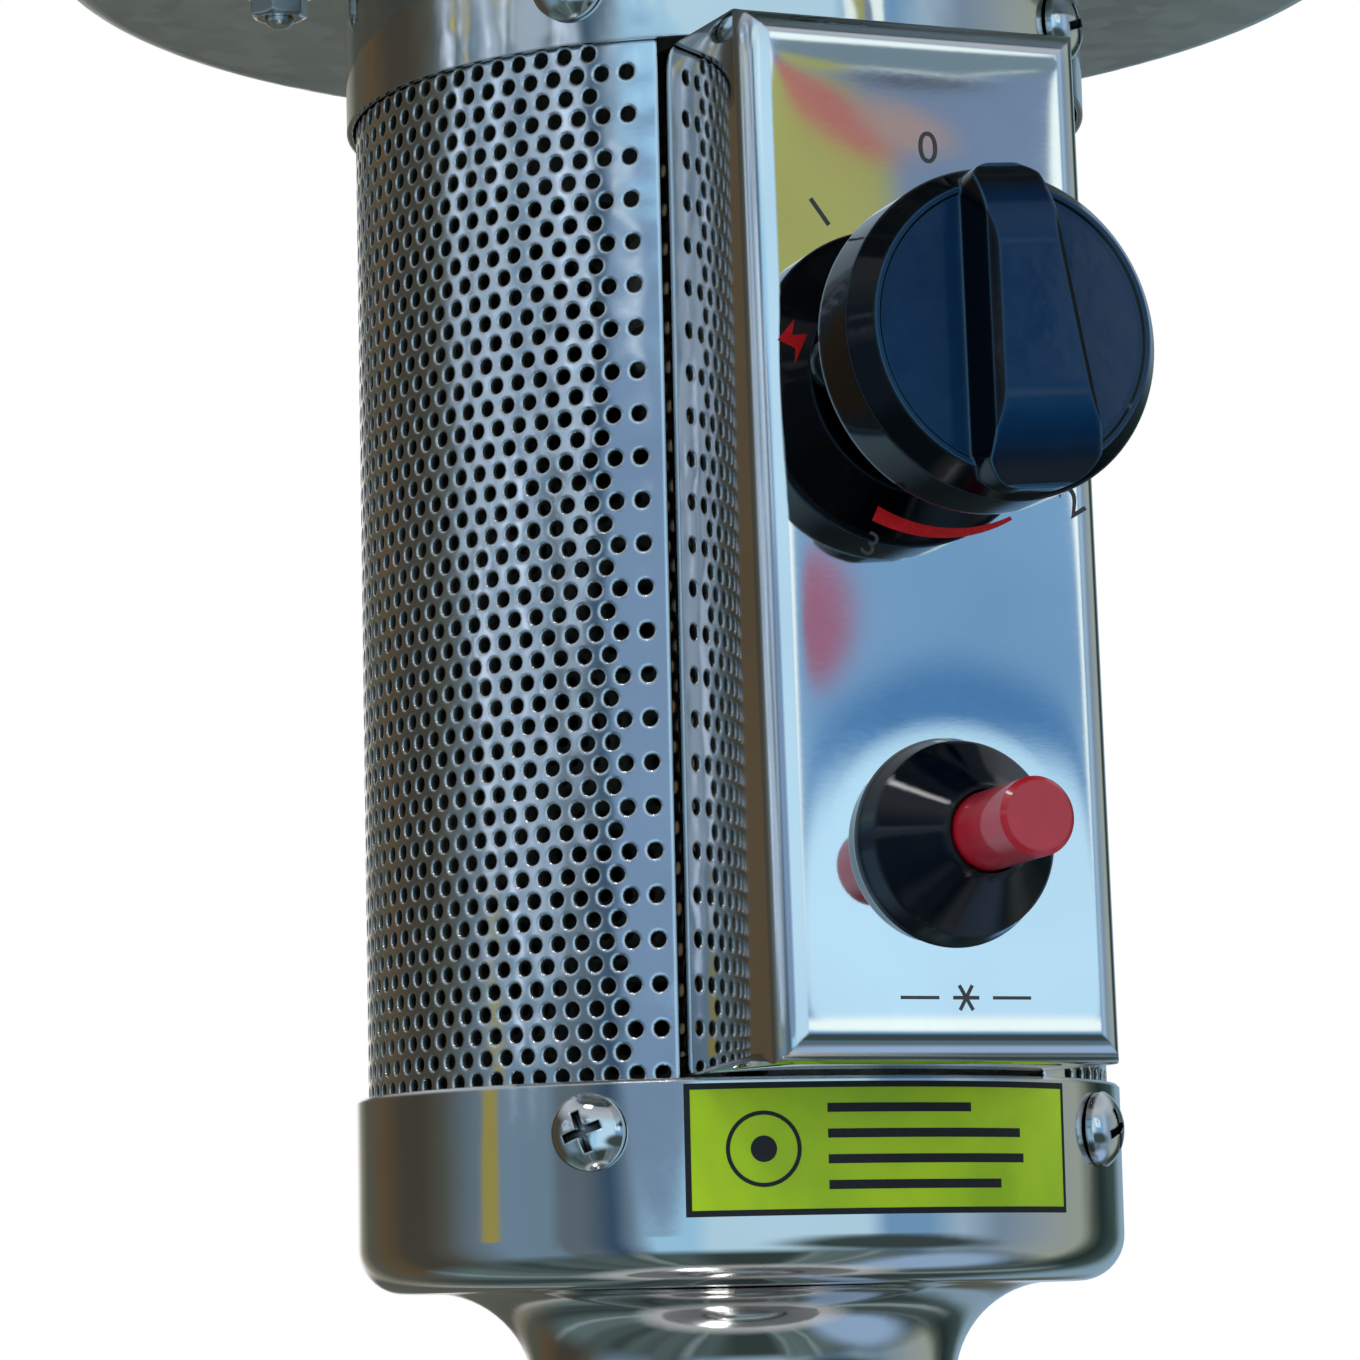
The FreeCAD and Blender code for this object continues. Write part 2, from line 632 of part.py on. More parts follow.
def make_feet():
    foot = turned("foot", [
        (0, 0),
        (S["foot_radius"] - S["foot_taper"], 0),
        (S["foot_radius"], S["foot_height"]),
        (0, S["foot_height"]),
    ])
    spots = [upright_placement(S["foot_circle"], azimuth, 0) for azimuth in (45, 135, 225, 315)]
    copies("rubber_feet", foot, spots)


def make_weight():
    shoulder = S["base_flat_radius"] - S["weight_gap"]
    fall = (S["weight_radius"] - shoulder) * tangent(S["base_slope"]) + S["weight_gap"]
    hole = S["bolt_radius"] + S["bolt_slack"]
    recess = S["bolt_head_radius"] + S["head_room"]
    recess_depth = S["bolt_head_height"] + S["head_room"]
    body = turned("weight", [
        (recess, 0),
        (S["weight_radius"], 0),
        (S["weight_radius"], S["weight_thickness"] - fall),
        (shoulder, S["weight_thickness"]),
        (hole, S["weight_thickness"]),
        (hole, recess_depth),
        (recess, recess_depth),
    ])
    keep("base_weight", place(body, z=S["foot_height"]))


def make_base_shell():
    """Shallow dome with a flat middle and a rounded, turned-down edge."""
    sheet_size = S["base_sheet"]
    slope = S["base_slope"]
    corner_x = S["base_radius"] - S["base_corner"]
    hole = S["bolt_radius"] + S["bolt_slack"]

    def outline(inset):
        """Points of the shell's surface, inset from the outer one."""
        bend = S["base_corner"] - inset
        shoulder = S["base_flat_radius"] - inset * tangent(slope / 2)
        fall = (corner_x + bend * sine(slope) - shoulder) * tangent(slope)
        top = base_top - inset
        bend_z = top - fall
        centre_z = bend_z - bend * cosine(slope)
        edge_x = S["base_radius"] - inset
        return top, shoulder, (corner_x + bend * sine(slope), bend_z), (edge_x, centre_z), bend

    top, shoulder, bend_in, bend_out, bend = outline(as_size(0))
    low, low_shoulder, low_bend_in, low_bend_out, low_bend = outline(sheet_size)
    body = turned("base", [
        (hole, low),
        (low_shoulder, low),
        (*low_bend_in, low_bend, "right"),
        low_bend_out,
        (S["base_radius"] - sheet_size, S["base_lift"]),
        (S["base_radius"], S["base_lift"]),
        (*bend_out, bend, "left"),
        bend_in,
        (shoulder, top),
        (hole, top),
    ])
    keep("base_shell", body)


def make_foot_plate():
    """Plate welded under the post, tapped for the middle bolt."""
    body = turned("foot_plate", [
        (S["bolt_radius"], 0),
        (S["foot_plate_radius"], 0),
        (S["foot_plate_radius"], S["foot_plate_thickness"]),
        (S["bolt_radius"], S["foot_plate_thickness"]),
    ])
    keep("post_foot_plate", place(body, z=base_top))


def make_middle_bolt():
    shank_radius = S["bolt_radius"] - S["thread_gap"]
    head_foot = S["foot_height"] + S["head_room"]
    head = place(hexagon("bolt_head", S["bolt_head_radius"], S["bolt_head_height"]), z=head_foot)
    shank = cylinder("bolt_shank", shank_radius, foot_plate_top - head_foot + S["bolt_proud"])
    place(shank, z=head_foot)
    keep("middle_bolt", joined("middle_bolt", [head, shank]))


def make_post():
    inside = S["post_radius"] - S["post_wall"]
    length = post_top - foot_plate_top
    tube = turned("post", [
        (inside, 0),
        (S["post_radius"], 0),
        (S["post_radius"], length),
        (inside, length),
    ])
    place(tube, z=foot_plate_top)
    hole = cylinder("inlet_hole", S["inlet_thread_radius"] + S["screw_slack"], S["post_radius"] * 2)
    place(hole, z=S["inlet_height"], axis=(1, 0, 0), turn=-90)
    keep("post", cut_from(tube, [hole]))


def make_foot_cover():
    """Spun bell that hides the plate and sweeps up round the post."""
    inside = S["post_radius"] + S["post_gap"]
    outside = inside + S["cover_sheet"]
    top = S["cover_height"]
    bend = S["cover_bend"]
    sweep_end_x = outside + bend
    sweep_foot = S["cover_edge"] + S["cover_sheet"]
    sweep_top = sweep_foot + bend
    inner_bend = bend + S["cover_sheet"]
    body = turned("foot_cover", [
        (S["cover_radius"] - S["cover_sheet"], 0),
        (S["cover_radius"], 0),
        (S["cover_radius"], S["cover_edge"]),
        (S["cover_radius"] - S["cover_sheet"], sweep_foot),
        (sweep_end_x, sweep_foot, bend, "right"),
        (outside, sweep_top),
        (outside, top),
        (inside, top),
        (inside, sweep_top, inner_bend, "left"),
        (sweep_end_x, S["cover_edge"]),
        (S["cover_radius"] - S["cover_sheet"], S["cover_edge"]),
    ])
    keep("post_foot_cover", place(body, z=base_top))


# Gas inlet and supply

def make_gas_inlet():
    """Bulkhead fitting through the back of the post, threaded for the hose's nut."""
    wall_out = S["post_radius"]
    wall_in = S["post_radius"] - S["post_wall"]
    hex_back = wall_out + S["inlet_seat_gap"]
    thread_end = hex_back + S["inlet_hex_thickness"] + S["inlet_thread_length"]
    tail_end = wall_in - S["inlet_tail"]
    thread = cylinder("inlet_thread", S["inlet_thread_radius"], thread_end - tail_end)
    place(thread, y=tail_end, z=S["inlet_height"], axis=(1, 0, 0), turn=-90)
    hexagonal = hexagon("inlet_hex", S["inlet_hex_radius"], S["inlet_hex_thickness"])
    place(hexagonal, y=hex_back, z=S["inlet_height"], axis=(1, 0, 0), turn=-90)
    whole = S["inlet_hex_thickness"] + S["inlet_thread_length"]
    bore = cylinder("inlet_bore", S["inlet_bore_radius"], whole)
    place(bore, y=hex_back, z=S["inlet_height"], axis=(1, 0, 0), turn=-90)
    keep("gas_inlet", cut_from(joined("inlet_solid", [thread, hexagonal]), [bore]))
    nut = hexagon("inlet_nut", S["inlet_hex_radius"], S["inlet_nut_thickness"])
    nut_back = root(wall_in * wall_in - S["inlet_hex_radius"] * S["inlet_hex_radius"]) - S["inlet_nut_gap"]
    place(nut, y=nut_back, z=S["inlet_height"], axis=(1, 0, 0), turn=90)
    hole = cylinder("inlet_nut_hole", S["inlet_thread_radius"] + S["thread_gap"], S["inlet_nut_thickness"])
    place(hole, y=nut_back, z=S["inlet_height"], axis=(1, 0, 0), turn=90)
    keep("gas_inlet_nut", cut_from(nut, [hole]))


nose_front = S["box_sheet"] + S["valve_seat_gap"]
block_front = nose_front + S["nose_length"]
block_back = block_front + S["block_depth"]
block_middle = block_front + S["block_depth"] / 2
block_low = S["knob_rise"] - S["block_height"] / 2
block_high = S["knob_rise"] + S["block_height"] / 2


def valve_port(side, rise, out, length):
    """The point at the mouth of a port on the valve's lower or upper face."""
    return panel_point(S["knob_side"] + side, rise + length, -out)


def make_supply_pipe():
    """From the inlet up the middle of the post, past the igniter, to the valve's lower port."""
    tail = S["post_radius"] - S["post_wall"] - S["inlet_tail"]
    mouth = valve_port(S["inlet_port_side"], block_low, block_middle, -S["port_length"])
    bend_height = S["rim_height"] - S["supply_bend"]
    rise = S["igniter_rise"] + S["supply_clear"]
    below = panel_point(S["knob_side"] + S["inlet_port_side"], rise, -block_middle)
    route = [
        (0, tail, S["inlet_height"]),
        (0, 0, S["inlet_height"]),
        (0, 0, bend_height),
        below,
        mouth,
    ]
    keep("supply_pipe", pipe("supply_pipe", route, S["supply_radius"], S["supply_bend"]))


# Control housing

def make_cup():
    """Spun cup that narrows through a hollow bend into the neck over the post."""
    thick = S["cup_sheet"]
    radius = S["cup_radius"]
    depth = S["cup_depth"]
    corner = S["cup_corner"]
    bend = S["neck_bend"]
    neck = S["neck_radius"]
    tip = S["post_radius"] + S["post_gap"]
    foot = neck_foot - S["rim_height"]
    lip = S["cup_lip"]
    body = turned("cup", [
        (radius - lip, 0),
        (radius - thick + lip / 2, 0),
        (radius - thick, -lip),
        (radius - thick, -(depth - corner), corner - thick, "right"),
        (radius - corner, -(depth - thick)),
        (neck + bend, -(depth - thick), bend + thick, "left"),
        (neck - thick, -(depth + bend)),
        (tip, foot),
        (tip + thick, foot),
        (neck, -(depth + bend), bend, "right"),
        (neck + bend, -depth),
        (radius - corner, -depth, corner, "left"),
        (radius, -(depth - corner)),
        (radius, -lip),
    ])
    place(body, z=S["rim_height"])
    keep("control_cup", cut_from(body, case_holes("cup_hole", screw_height("cup"))))


def screw_height(which):
    if which == "cup":
        return S["rim_height"] - S["cup_screw_drop"]
    return S["rim_height"] + S["collar_screw_rise"]


def case_holes(name, height):
    """Four holes through cup or collar, sleeve and inner ring."""
    holes = []
    for azimuth in four_azimuths(S["screw_azimuth"]):
        hole = cylinder(name, S["screw_radius"] + S["screw_slack"], S["cup_radius"] / 4)
        hole.Placement = radial_placement(S["cup_radius"] * 0.85, azimuth, height)
        holes.append(hole)
    return holes


def make_case_screws(label, shell_radius, height):
    """Pan-head screws with a cross recess, heads outwards."""
    head = S["pan_head_radius"]
    rise = S["pan_head_height"]
    screw = turned(label + "_one", [
        (0, -S["screw_length"]),
        (S["screw_radius"], -S["screw_length"]),
        (S["screw_radius"], 0),
        (head, 0),
        (head, rise * 0.3, head * 1.05, "left"),
        (0, rise),
    ])
    bars = []
    for turn in (20, 110):
        bar = block(label + "_bar", head * 1.1, S["cross_width"], rise)
        bar_turn = FreeCAD.Rotation(FreeCAD.Vector(0, 0, 1), turn)
        corner = bar_turn.multVec(vector(-head * 0.55, -S["cross_width"] / 2, rise * 0.45))
        bar.Placement = FreeCAD.Placement(corner, bar_turn)
        bars.append(bar)
    screw = cut_from(screw, bars)
    seat = shell_radius + S["thread_gap"]
    spots = [radial_placement(seat, azimuth, height) for azimuth in four_azimuths(S["screw_azimuth"])]
    copies(label, screw, spots)


def make_sleeve():
    """The perforated sheet, bent to a C that ends at the box's side walls."""
    half_width = S["box_root_width"] / 2 + S["sheet_gap"]
    opening = angle_of_sine(half_width / sleeve_inside)
    low = -S["sleeve_into_cup"]
    high = S["collar_rise"] + S["sleeve_into_collar"]
    body = turned("sleeve", [
        (sleeve_inside, low),
        (S["sleeve_radius"], low),
        (S["sleeve_radius"], high),
        (sleeve_inside, high),
    ], sweep=360 - 2 * opening)
    place(body, z=S["rim_height"], turn=90)
    low_holes = case_holes("sleeve_low_hole", screw_height("cup"))
    high_holes = case_holes("sleeve_high_hole", screw_height("collar"))
    keep("perforated_sleeve", cut_from(body, low_holes + high_holes))


def make_collar():
    height = S["tray_rise"] - S["collar_rise"]
    body = turned("collar", [
        (S["collar_radius"] - S["collar_sheet"], 0),
        (S["collar_radius"], 0),
        (S["collar_radius"], height),
        (S["collar_radius"] - S["collar_sheet"], height),
    ])
    place(body, z=S["rim_height"] + S["collar_rise"])
    keep("upper_collar", cut_from(body, case_holes("collar_hole", screw_height("collar"))))


def make_lower_ring():
    inside = ring_radius - S["ring_wall"]
    top = -S["sheet_gap"]
    body = turned("lower_ring", [
        (inside, top - S["ring_height"]),
        (ring_radius, top - S["ring_height"]),
        (ring_radius, top),
        (inside, top),
    ])
    place(body, z=S["rim_height"])
    keep("lower_ring", cut_from(body, case_holes("low_ring_hole", screw_height("cup"))))


def make_upper_ring():
    """Flanged ring with a web that carries the mixing tube, with air and pipe holes."""
    inside = ring_radius - S["ring_wall"]
    foot = S["collar_rise"] + S["upper_ring_lift"]
    web_top = S["tray_rise"] - S["sheet_gap"]
    web_low = web_top - S["web_thickness"]
    hole = S["mixer_radius"] + S["sheet_gap"]
    body = turned("upper_ring", [
        (inside, foot),
        (ring_radius, foot),
        (ring_radius, web_top),
        (hole, web_top),
        (hole, web_low),
        (inside, web_low),
    ])
    place(body, z=S["rim_height"])
    tools = case_holes("high_ring_hole", screw_height("collar"))
    for azimuth in (90, 135, 180, 225, 270):
        hole = cylinder("air_hole", S["web_hole_radius"], S["web_thickness"] * 3)
        spot = S["rim_height"] + web_low - S["web_thickness"]
        hole.Placement = upright_placement(S["web_hole_circle"], azimuth, spot)
        tools.append(hole)
    keep("upper_ring", cut_from(body, tools + tube_holes("web_tube_hole", S["rim_height"] + web_low)))


def tube_holes(name, height):
    """Holes for the pilot's tube, the flame sensor and the electrode, from below a height."""
    holes = []
    for side, radius in (
        (S["pilot_side"], S["pilot_tube_radius"]),
        (-S["pilot_side"], S["sensor_radius"]),
        (as_size(0), S["spark_lead_radius"]),
    ):
        hole = cylinder(name, radius + S["grommet_gap"], S["web_thickness"] * 3)
        place(hole, side, -S["pilot_reach"], height - S["web_thickness"])
        holes.append(hole)
    return holes


# Control box

def box_solid(name, inset, depth):
    """Solid of the box's form, inset all round: an upright block that widens to its back, cut
    along the leaning panel, with the panel's four edges rounded."""
    body = new_body(name)
    root_half = S["box_root_width"] / 2
    junction = root(S["sleeve_radius"] * S["sleeve_radius"] - root_half * root_half)
    splay = (root_half - S["box_width"] / 2) / (S["box_foot_reach"] - junction)
    back = junction - depth
    blank = S["box_foot_reach"] + S["box_bend"] * 2
    front_half = S["box_width"] / 2 - inset - (blank - S["box_foot_reach"]) * splay
    back_half = front_half + (blank - back) * splay
    sketch = new_sketch(body, "XY_Plane")
    draw_outline(sketch, [
        (-front_half, -blank),
        (front_half, -blank),
        (back_half, -back),
        (-back_half, -back),
    ])
    bind(sketch, "AttachmentOffset.Base.z", inset)
    pad = body.newObject("PartDesign::Pad", name + "_pad")
    pad.Profile = sketch
    bind(pad, "Length", S["box_height"] - inset * 2)
    fall = (S["box_foot_reach"] - S["box_head_reach"]) / S["box_height"]
    over = S["box_bend"]
    face = S["box_foot_reach"] - inset / cosine(panel_lean)
    wedge = new_sketch(body, "YZ_Plane")
    draw_outline(wedge, [
        (-(face + over * fall), -over),
        (-(face - (S["box_height"] + over) * fall), S["box_height"] + over),
        (-(blank + over), S["box_height"] + over),
        (-(blank + over), -over),
    ])
    pocket = body.newObject("PartDesign::Pocket", name + "_lean")
    pocket.Profile = wedge
    pocket.Midplane = True
    bind(pocket, "Length", S["box_root_width"] * 2)
    doc.recompute()
    front = []
    limit = -(S["box_head_reach"] - S["box_bend"]).number
    for index, edge in enumerate(pocket.Shape.Edges, start=1):
        if all(vertex.Point.y < limit for vertex in edge.Vertexes):
            front.append(f"Edge{index}")
    fillet = body.newObject("PartDesign::Fillet", name + "_round")
    fillet.Base = (pocket, front)
    bind(fillet, "Radius", S["box_bend"] - inset)
    doc.recompute()
    return body


def make_control_box():
    """Deep-drawn box open at the back, pierced for the valve's stem and the igniter."""
    wall = S["box_sheet"]
    outer = box_solid("box_outside", as_size(0), S["box_into_sleeve"])
    inner = box_solid("box_inside", wall, S["box_into_sleeve"] + S["overlap"])
    place(outer, z=box_foot)
    place(inner, z=box_foot)
    deep = wall * 4
    stem = on_knob_axis(cylinder("stem_hole", S["stem_radius"] + S["stem_hole_gap"], deep), -deep / 2)
    barrel_hole = S["barrel_radius"] + S["barrel_hole_gap"]
    barrel = on_igniter_axis(cylinder("barrel_hole", barrel_hole, deep), -deep / 2)
    tools = [inner, stem, barrel]
    for side in (-1, 1):
        hole = cylinder("valve_screw_hole", S["screw_radius"] + S["screw_slack"], deep)
        on_panel(hole, S["knob_side"] + side * valve_screw_side, S["knob_rise"], -deep / 2)
        tools.append(hole)
    keep("control_box", cut_from(outer, tools))


# Valve and knob

valve_screw_side = S["nose_radius"] + S["screw_radius"] + S["valve_screw_room"]


def make_valve():
    """Brass block with a hollow nose for the stem's spring, ears for two screws and ports."""
    body = block("valve_block", S["block_width"], S["block_height"], S["block_depth"])
    on_panel(body, S["knob_side"] - S["block_width"] / 2, block_low, -block_back)
    nose = on_knob_axis(cylinder("valve_nose", S["nose_radius"], S["nose_length"]), -block_front)
    ear_width = (valve_screw_side + S["screw_radius"] + S["ear_margin"]) * 2
    ears = block("valve_ears", ear_width, S["screw_radius"] * 4, S["nose_length"])
    on_panel(ears, S["knob_side"] - ear_width / 2, S["knob_rise"] - S["screw_radius"] * 2, -block_front)
    solids = [body, nose, ears]
    for side, rise, length in (
        (S["inlet_port_side"], block_low, -S["port_length"]),
        (S["pilot_port_side"], block_high, S["port_length"]),
        (S["sensor_port_side"], block_high, S["port_length"]),
    ):
        port = cylinder("valve_port", S["port_radius"], S["port_length"] + S["overlap"])
        start = rise - S["overlap"] if length.number > 0 else rise + S["overlap"]
        point = panel_point(S["knob_side"] + side, start, -block_middle)
        place(port, *point, axis=(1, 0, 0), turn=(-panel_lean if length.number > 0 else 180 - panel_lean))
        solids.append(port)
    outlet = cylinder("valve_outlet", S["port_radius"], S["port_length"] + S["overlap"])
    start = panel_point(S["knob_side"], S["knob_rise"], -(block_back - S["overlap"]))
    place(outlet, *start, axis=(1, 0, 0), turn=-90 - panel_lean)
    solids.append(outlet)
    cavity = cylinder("nose_cavity", S["nose_radius"] - S["nose_wall"], S["nose_length"] - S["nose_lip"])
    on_knob_axis(cavity, -block_front)
    bore_depth = stem_depth + S["knob_travel"] + S["overlap"]
    stem_bore = cylinder("stem_bore", S["stem_radius"] + S["stem_gap"], S["nose_length"] + bore_depth)
    on_knob_axis(stem_bore, -(block_front + bore_depth))
    tools = [cavity, stem_bore]
    for side in (-1, 1):
        hole = cylinder("ear_hole", S["screw_radius"], S["nose_length"] + S["overlap"] * 2)
        start = -(block_front + S["overlap"] * 2)
        on_panel(hole, S["knob_side"] + side * valve_screw_side, S["knob_rise"], start)
        tools.append(hole)
    keep("valve_body", cut_from(joined("valve_solid", solids), tools))


stem_depth = S["stem_in_valve"]
seat_front = nose_front + S["nose_lip"] + S["stem_shoulder_height"] + S["stem_shoulder_rest"]
seat_back = seat_front + S["spring_seat_thickness"]


def make_stem():
    """Stem with a shoulder in front of the spring's seat and a flat for the knob."""
    front = S["knob_hub_back"] + S["stem_in_knob"]
    length = front + block_front + stem_depth
    rod = on_knob_axis(cylinder("stem_rod", S["stem_radius"], length), -(block_front + stem_depth))
    shoulder = cylinder("stem_shoulder", S["stem_radius"] + S["stem_shoulder"], S["stem_shoulder_height"])
    on_knob_axis(shoulder, -(seat_front - S["thread_gap"]))
    flat = block("stem_flat", S["stem_radius"] * 2, S["stem_radius"], S["stem_in_knob"])
    low = S["knob_rise"] - S["stem_radius"] * 1.5
    on_panel(flat, S["knob_side"] - S["stem_radius"], low, S["knob_hub_back"])
    keep("valve_stem", cut_from(joined("stem_solid", [rod, shoulder]), [flat]))


def make_spring_seat():
    """Loose washer that the stem's shoulder pushes and the spring returns."""
    hole = S["stem_radius"] + S["stem_gap"]
    body = turned("spring_seat", [
        (hole, 0),
        (S["spring_seat_radius"], 0),
        (S["spring_seat_radius"], S["spring_seat_thickness"]),
        (hole, S["spring_seat_thickness"]),
    ])
    keep("stem_spring_seat", on_knob_axis(body, -seat_back))


def make_stem_spring():
    """Stands for the coil between the seat and the floor of the nose."""
    length = block_front - seat_back - S["spring_rest"]
    inside = S["spring_radius"] - S["spring_wall"]
    body = turned("stem_spring", [
        (inside, 0),
        (S["spring_radius"], 0),
        (S["spring_radius"], length),
        (inside, length),
    ])
    keep("stem_spring", on_knob_axis(body, -block_front))


def make_valve_screws():
    """Two screws that hold the valve to the panel, under the knob."""
    screw = turned("valve_screw_one", [
        (0, -S["screw_length"]),
        (S["screw_radius"] - S["thread_gap"], -S["screw_length"]),
        (S["screw_radius"] - S["thread_gap"], 0),
        (S["screw_radius"] * 1.9, 0),
        (S["screw_radius"] * 1.6, S["valve_screw_head"]),
        (0, S["valve_screw_head"]),
    ])
    doc.recompute()
    spots = []
    turn = FreeCAD.Rotation(FreeCAD.Vector(1, 0, 0), panel_turn.number)
    for side in (-1, 1):
        point = panel_point(S["knob_side"] + side * valve_screw_side, S["knob_rise"], 0)
        spots.append(FreeCAD.Placement(vector(*point), turn))
    copies("valve_screws", screw, spots)


def knob_turned_placement(out, spin=None):
    """On the knob's axis, turned with the knob, and spun further where a piece needs it."""
    point = panel_point(S["knob_side"], S["knob_rise"], out)
    turn = FreeCAD.Rotation(FreeCAD.Vector(1, 0, 0), panel_turn.number)
    turn = turn * FreeCAD.Rotation(FreeCAD.Vector(0, 0, 1), S["knob_turned"].number)
    return FreeCAD.Placement(vector(*point), turn * spin if spin else turn)


def grip_half_width(rise, spread):
    """Half the grip's width at a distance up from its middle, with spread added to its top's."""
    taper = (S["grip_width_down"] - S["grip_width_up"]) / 4
    return (S["grip_width_up"] + S["grip_width_down"]) / 4 - taper * rise / S["knob_radius"] + spread


def grip_wedge(name, foot, lean, trim):
    """Bar wider at one end than at the other, with leaning sides, past the knob at both ends."""
    height = S["grip_top"] - foot
    spread = height * tangent(lean) - trim
    end = S["knob_radius"] + S["overlap"] + height * tangent(lean)
    up = grip_half_width(end, spread)
    down = grip_half_width(-end, spread)
    wedge = padded(name, [(-down, -end), (down, -end), (up, end), (-up, end)], height, draft=lean)
    wedge.Placement = knob_turned_placement(foot)
    return wedge


def grip_ends(foot):
    """Upright prism with the rounded corners of the grip's two ends."""
    height = S["grip_top"] - foot
    spread = height * tangent(S["grip_draft"])
    reach = S["knob_radius"] - S["grip_end"]
    high = reach - S["grip_corner_up"]
    low = reach - S["grip_corner_down"]
    up = grip_half_width(high, spread)
    down = grip_half_width(-low, spread)
    prism = padded("grip_ends", [
        (-down, -low, S["grip_corner_down"], "left"),
        (S["grip_corner_down"] - down, -reach),
        (down - S["grip_corner_down"], -reach, S["grip_corner_down"], "left"),
        (down, -low),
        (up, high, S["grip_corner_up"], "left"),
        (up - S["grip_corner_up"], reach),
        (S["grip_corner_up"] - up, reach, S["grip_corner_up"], "left"),
        (-up, high),
    ], height)
    prism.Placement = knob_turned_placement(foot)
    return prism


def make_grip(foot):
    """Tapering bar with bevelled long edges, whose top falls in a sweep at both ends."""
    bar = grip_wedge("grip_bar", foot, S["grip_draft"], as_size(0))
    edges = grip_wedge("grip_edges", foot, S["grip_edge_lean"], S["grip_edge"])
    ends = grip_ends(foot)
    top = S["grip_top"]
    sweep = S["grip_sweep"]
    fall = S["knob_radius"] - S["overlap"] - S["grip_flat"]
    end_drop = sweep - root(sweep * sweep - fall * fall)
    end = S["knob_radius"] + S["overlap"]
    width = S["knob_radius"] * 2
    side_view = padded("grip_side_view", [
        (-end, foot - S["overlap"]),
        (end, foot - S["overlap"]),
        (end, top - end_drop),
        (S["knob_radius"] - S["overlap"], top - end_drop, sweep, "left"),
        (S["grip_flat"], top),
        (-S["grip_flat"], top, sweep, "left"),
        (-(S["knob_radius"] - S["overlap"]), top - end_drop),
        (-end, top - end_drop),
    ], width)
    onto_side = FreeCAD.Rotation(FreeCAD.Vector(1, 1, 1), 120)
    middle = FreeCAD.Placement(vector(0, 0, -width / 2), FreeCAD.Rotation())
    side_view.Placement = knob_turned_placement(as_size(0), onto_side).multiply(middle)
    common = doc.addObject("Part::MultiCommon", "grip")
    common.Shapes = [bar, edges, ends, side_view]
    return common


def make_knob():
    """Round knob with a bevelled, slightly dished face, a raised tapering grip and a bored hub."""
    back = S["knob_hub_back"]
    rim_back = S["knob_face"] - S["knob_rim"]
    crown = S["knob_face"] + S["knob_crown"]
    face = crown - S["knob_dish"]
    lip = S["knob_crown_radius"] - S["knob_lip"]
    bore = S["stem_radius"] + S["stem_press_gap"]
    bore_end = back + S["stem_in_knob"] + S["knob_bore_rest"]
    bevel = S["knob_back_bevel"]
    disc = turned("knob_disc", [
        (bore, back),
        (S["knob_hub_radius"], back),
        (S["knob_radius"] - bevel, rim_back - bevel / 2),
        (S["knob_radius"], rim_back),
        (S["knob_radius"], S["knob_face"]),
        (S["knob_crown_radius"], crown),
        (lip, crown),
        (lip - S["knob_dish"], face),
        (0, face),
        (0, bore_end),
        (bore, bore_end),
    ])
    on_knob_axis(disc)
    grip = make_grip(face - S["overlap"])
    flat = block("knob_flat", S["stem_radius"] * 2, S["stem_radius"], S["stem_in_knob"])
    low = S["knob_rise"] - S["stem_radius"] * 1.5 - S["stem_flat_gap"]
    on_panel(flat, S["knob_side"] - S["stem_radius"], low, back)
    keep("control_knob", joined("control_knob", [disc, grip, flat]))


# Igniter

def make_igniter():
    """Threaded barrel with a blind bore for the button, and its terminal behind."""
    out = S["bezel_hollow"] - S["bezel_soft"]
    depth = S["barrel_depth"]
    bore = S["button_radius"] + S["button_gap"]
    tail = depth + S["terminal_length"]
    body = turned("barrel", [
        (0, -tail),
        (S["terminal_radius"], -tail),
        (S["terminal_radius"], -depth),
        (S["barrel_radius"], -depth),
        (S["barrel_radius"], out),
        (bore, out),
        (bore, -S["barrel_floor"]),
        (0, -S["barrel_floor"]),
    ])
    keep("igniter_body", on_igniter_axis(body))


def make_bezel():
    """Cone-shaped nut that clamps the igniter from the front."""
    thread = S["barrel_radius"] + S["thread_gap"]
    bore = S["button_radius"] + S["button_gap"]
    soft = S["bezel_soft"]
    body = turned("bezel", [
        (thread, S["seat_gap"]),
        (S["bezel_radius"], S["seat_gap"]),
        (S["bezel_radius"] - soft, S["bezel_foot"]),
        (S["bezel_rim_radius"], S["bezel_rim"]),
        (S["bezel_nose_radius"], S["bezel_nose"] - soft * 2),
        (S["bezel_nose_radius"] - soft, S["bezel_nose"]),
        (bore, S["bezel_nose"]),
        (bore, S["bezel_hollow"]),
        (thread, S["bezel_hollow"]),
    ])
    keep("igniter_bezel", on_igniter_axis(body))


def make_button():
    body = turned("button", [
        (0, -S["button_inside"]),
        (S["button_radius"], -S["button_inside"]),
        (S["button_radius"], S["button_tip"] - S["button_bevel"]),
        (S["button_radius"] - S["button_bevel"], S["button_tip"]),
        (0, S["button_tip"]),
    ])
    keep("igniter_button", on_igniter_axis(body))


def make_button_spring():
    """Stands for the coil behind the button."""
    outside = S["button_radius"] - S["button_spring_gap"]
    inside = outside - S["button_spring_wall"]
    length = S["barrel_floor"] - S["button_inside"] - S["spring_rest"] * 2
    body = turned("button_spring", [
        (inside, 0),
        (outside, 0),
        (outside, length),
        (inside, length),
    ])
    keep("igniter_spring", on_igniter_axis(body, -S["barrel_floor"]))


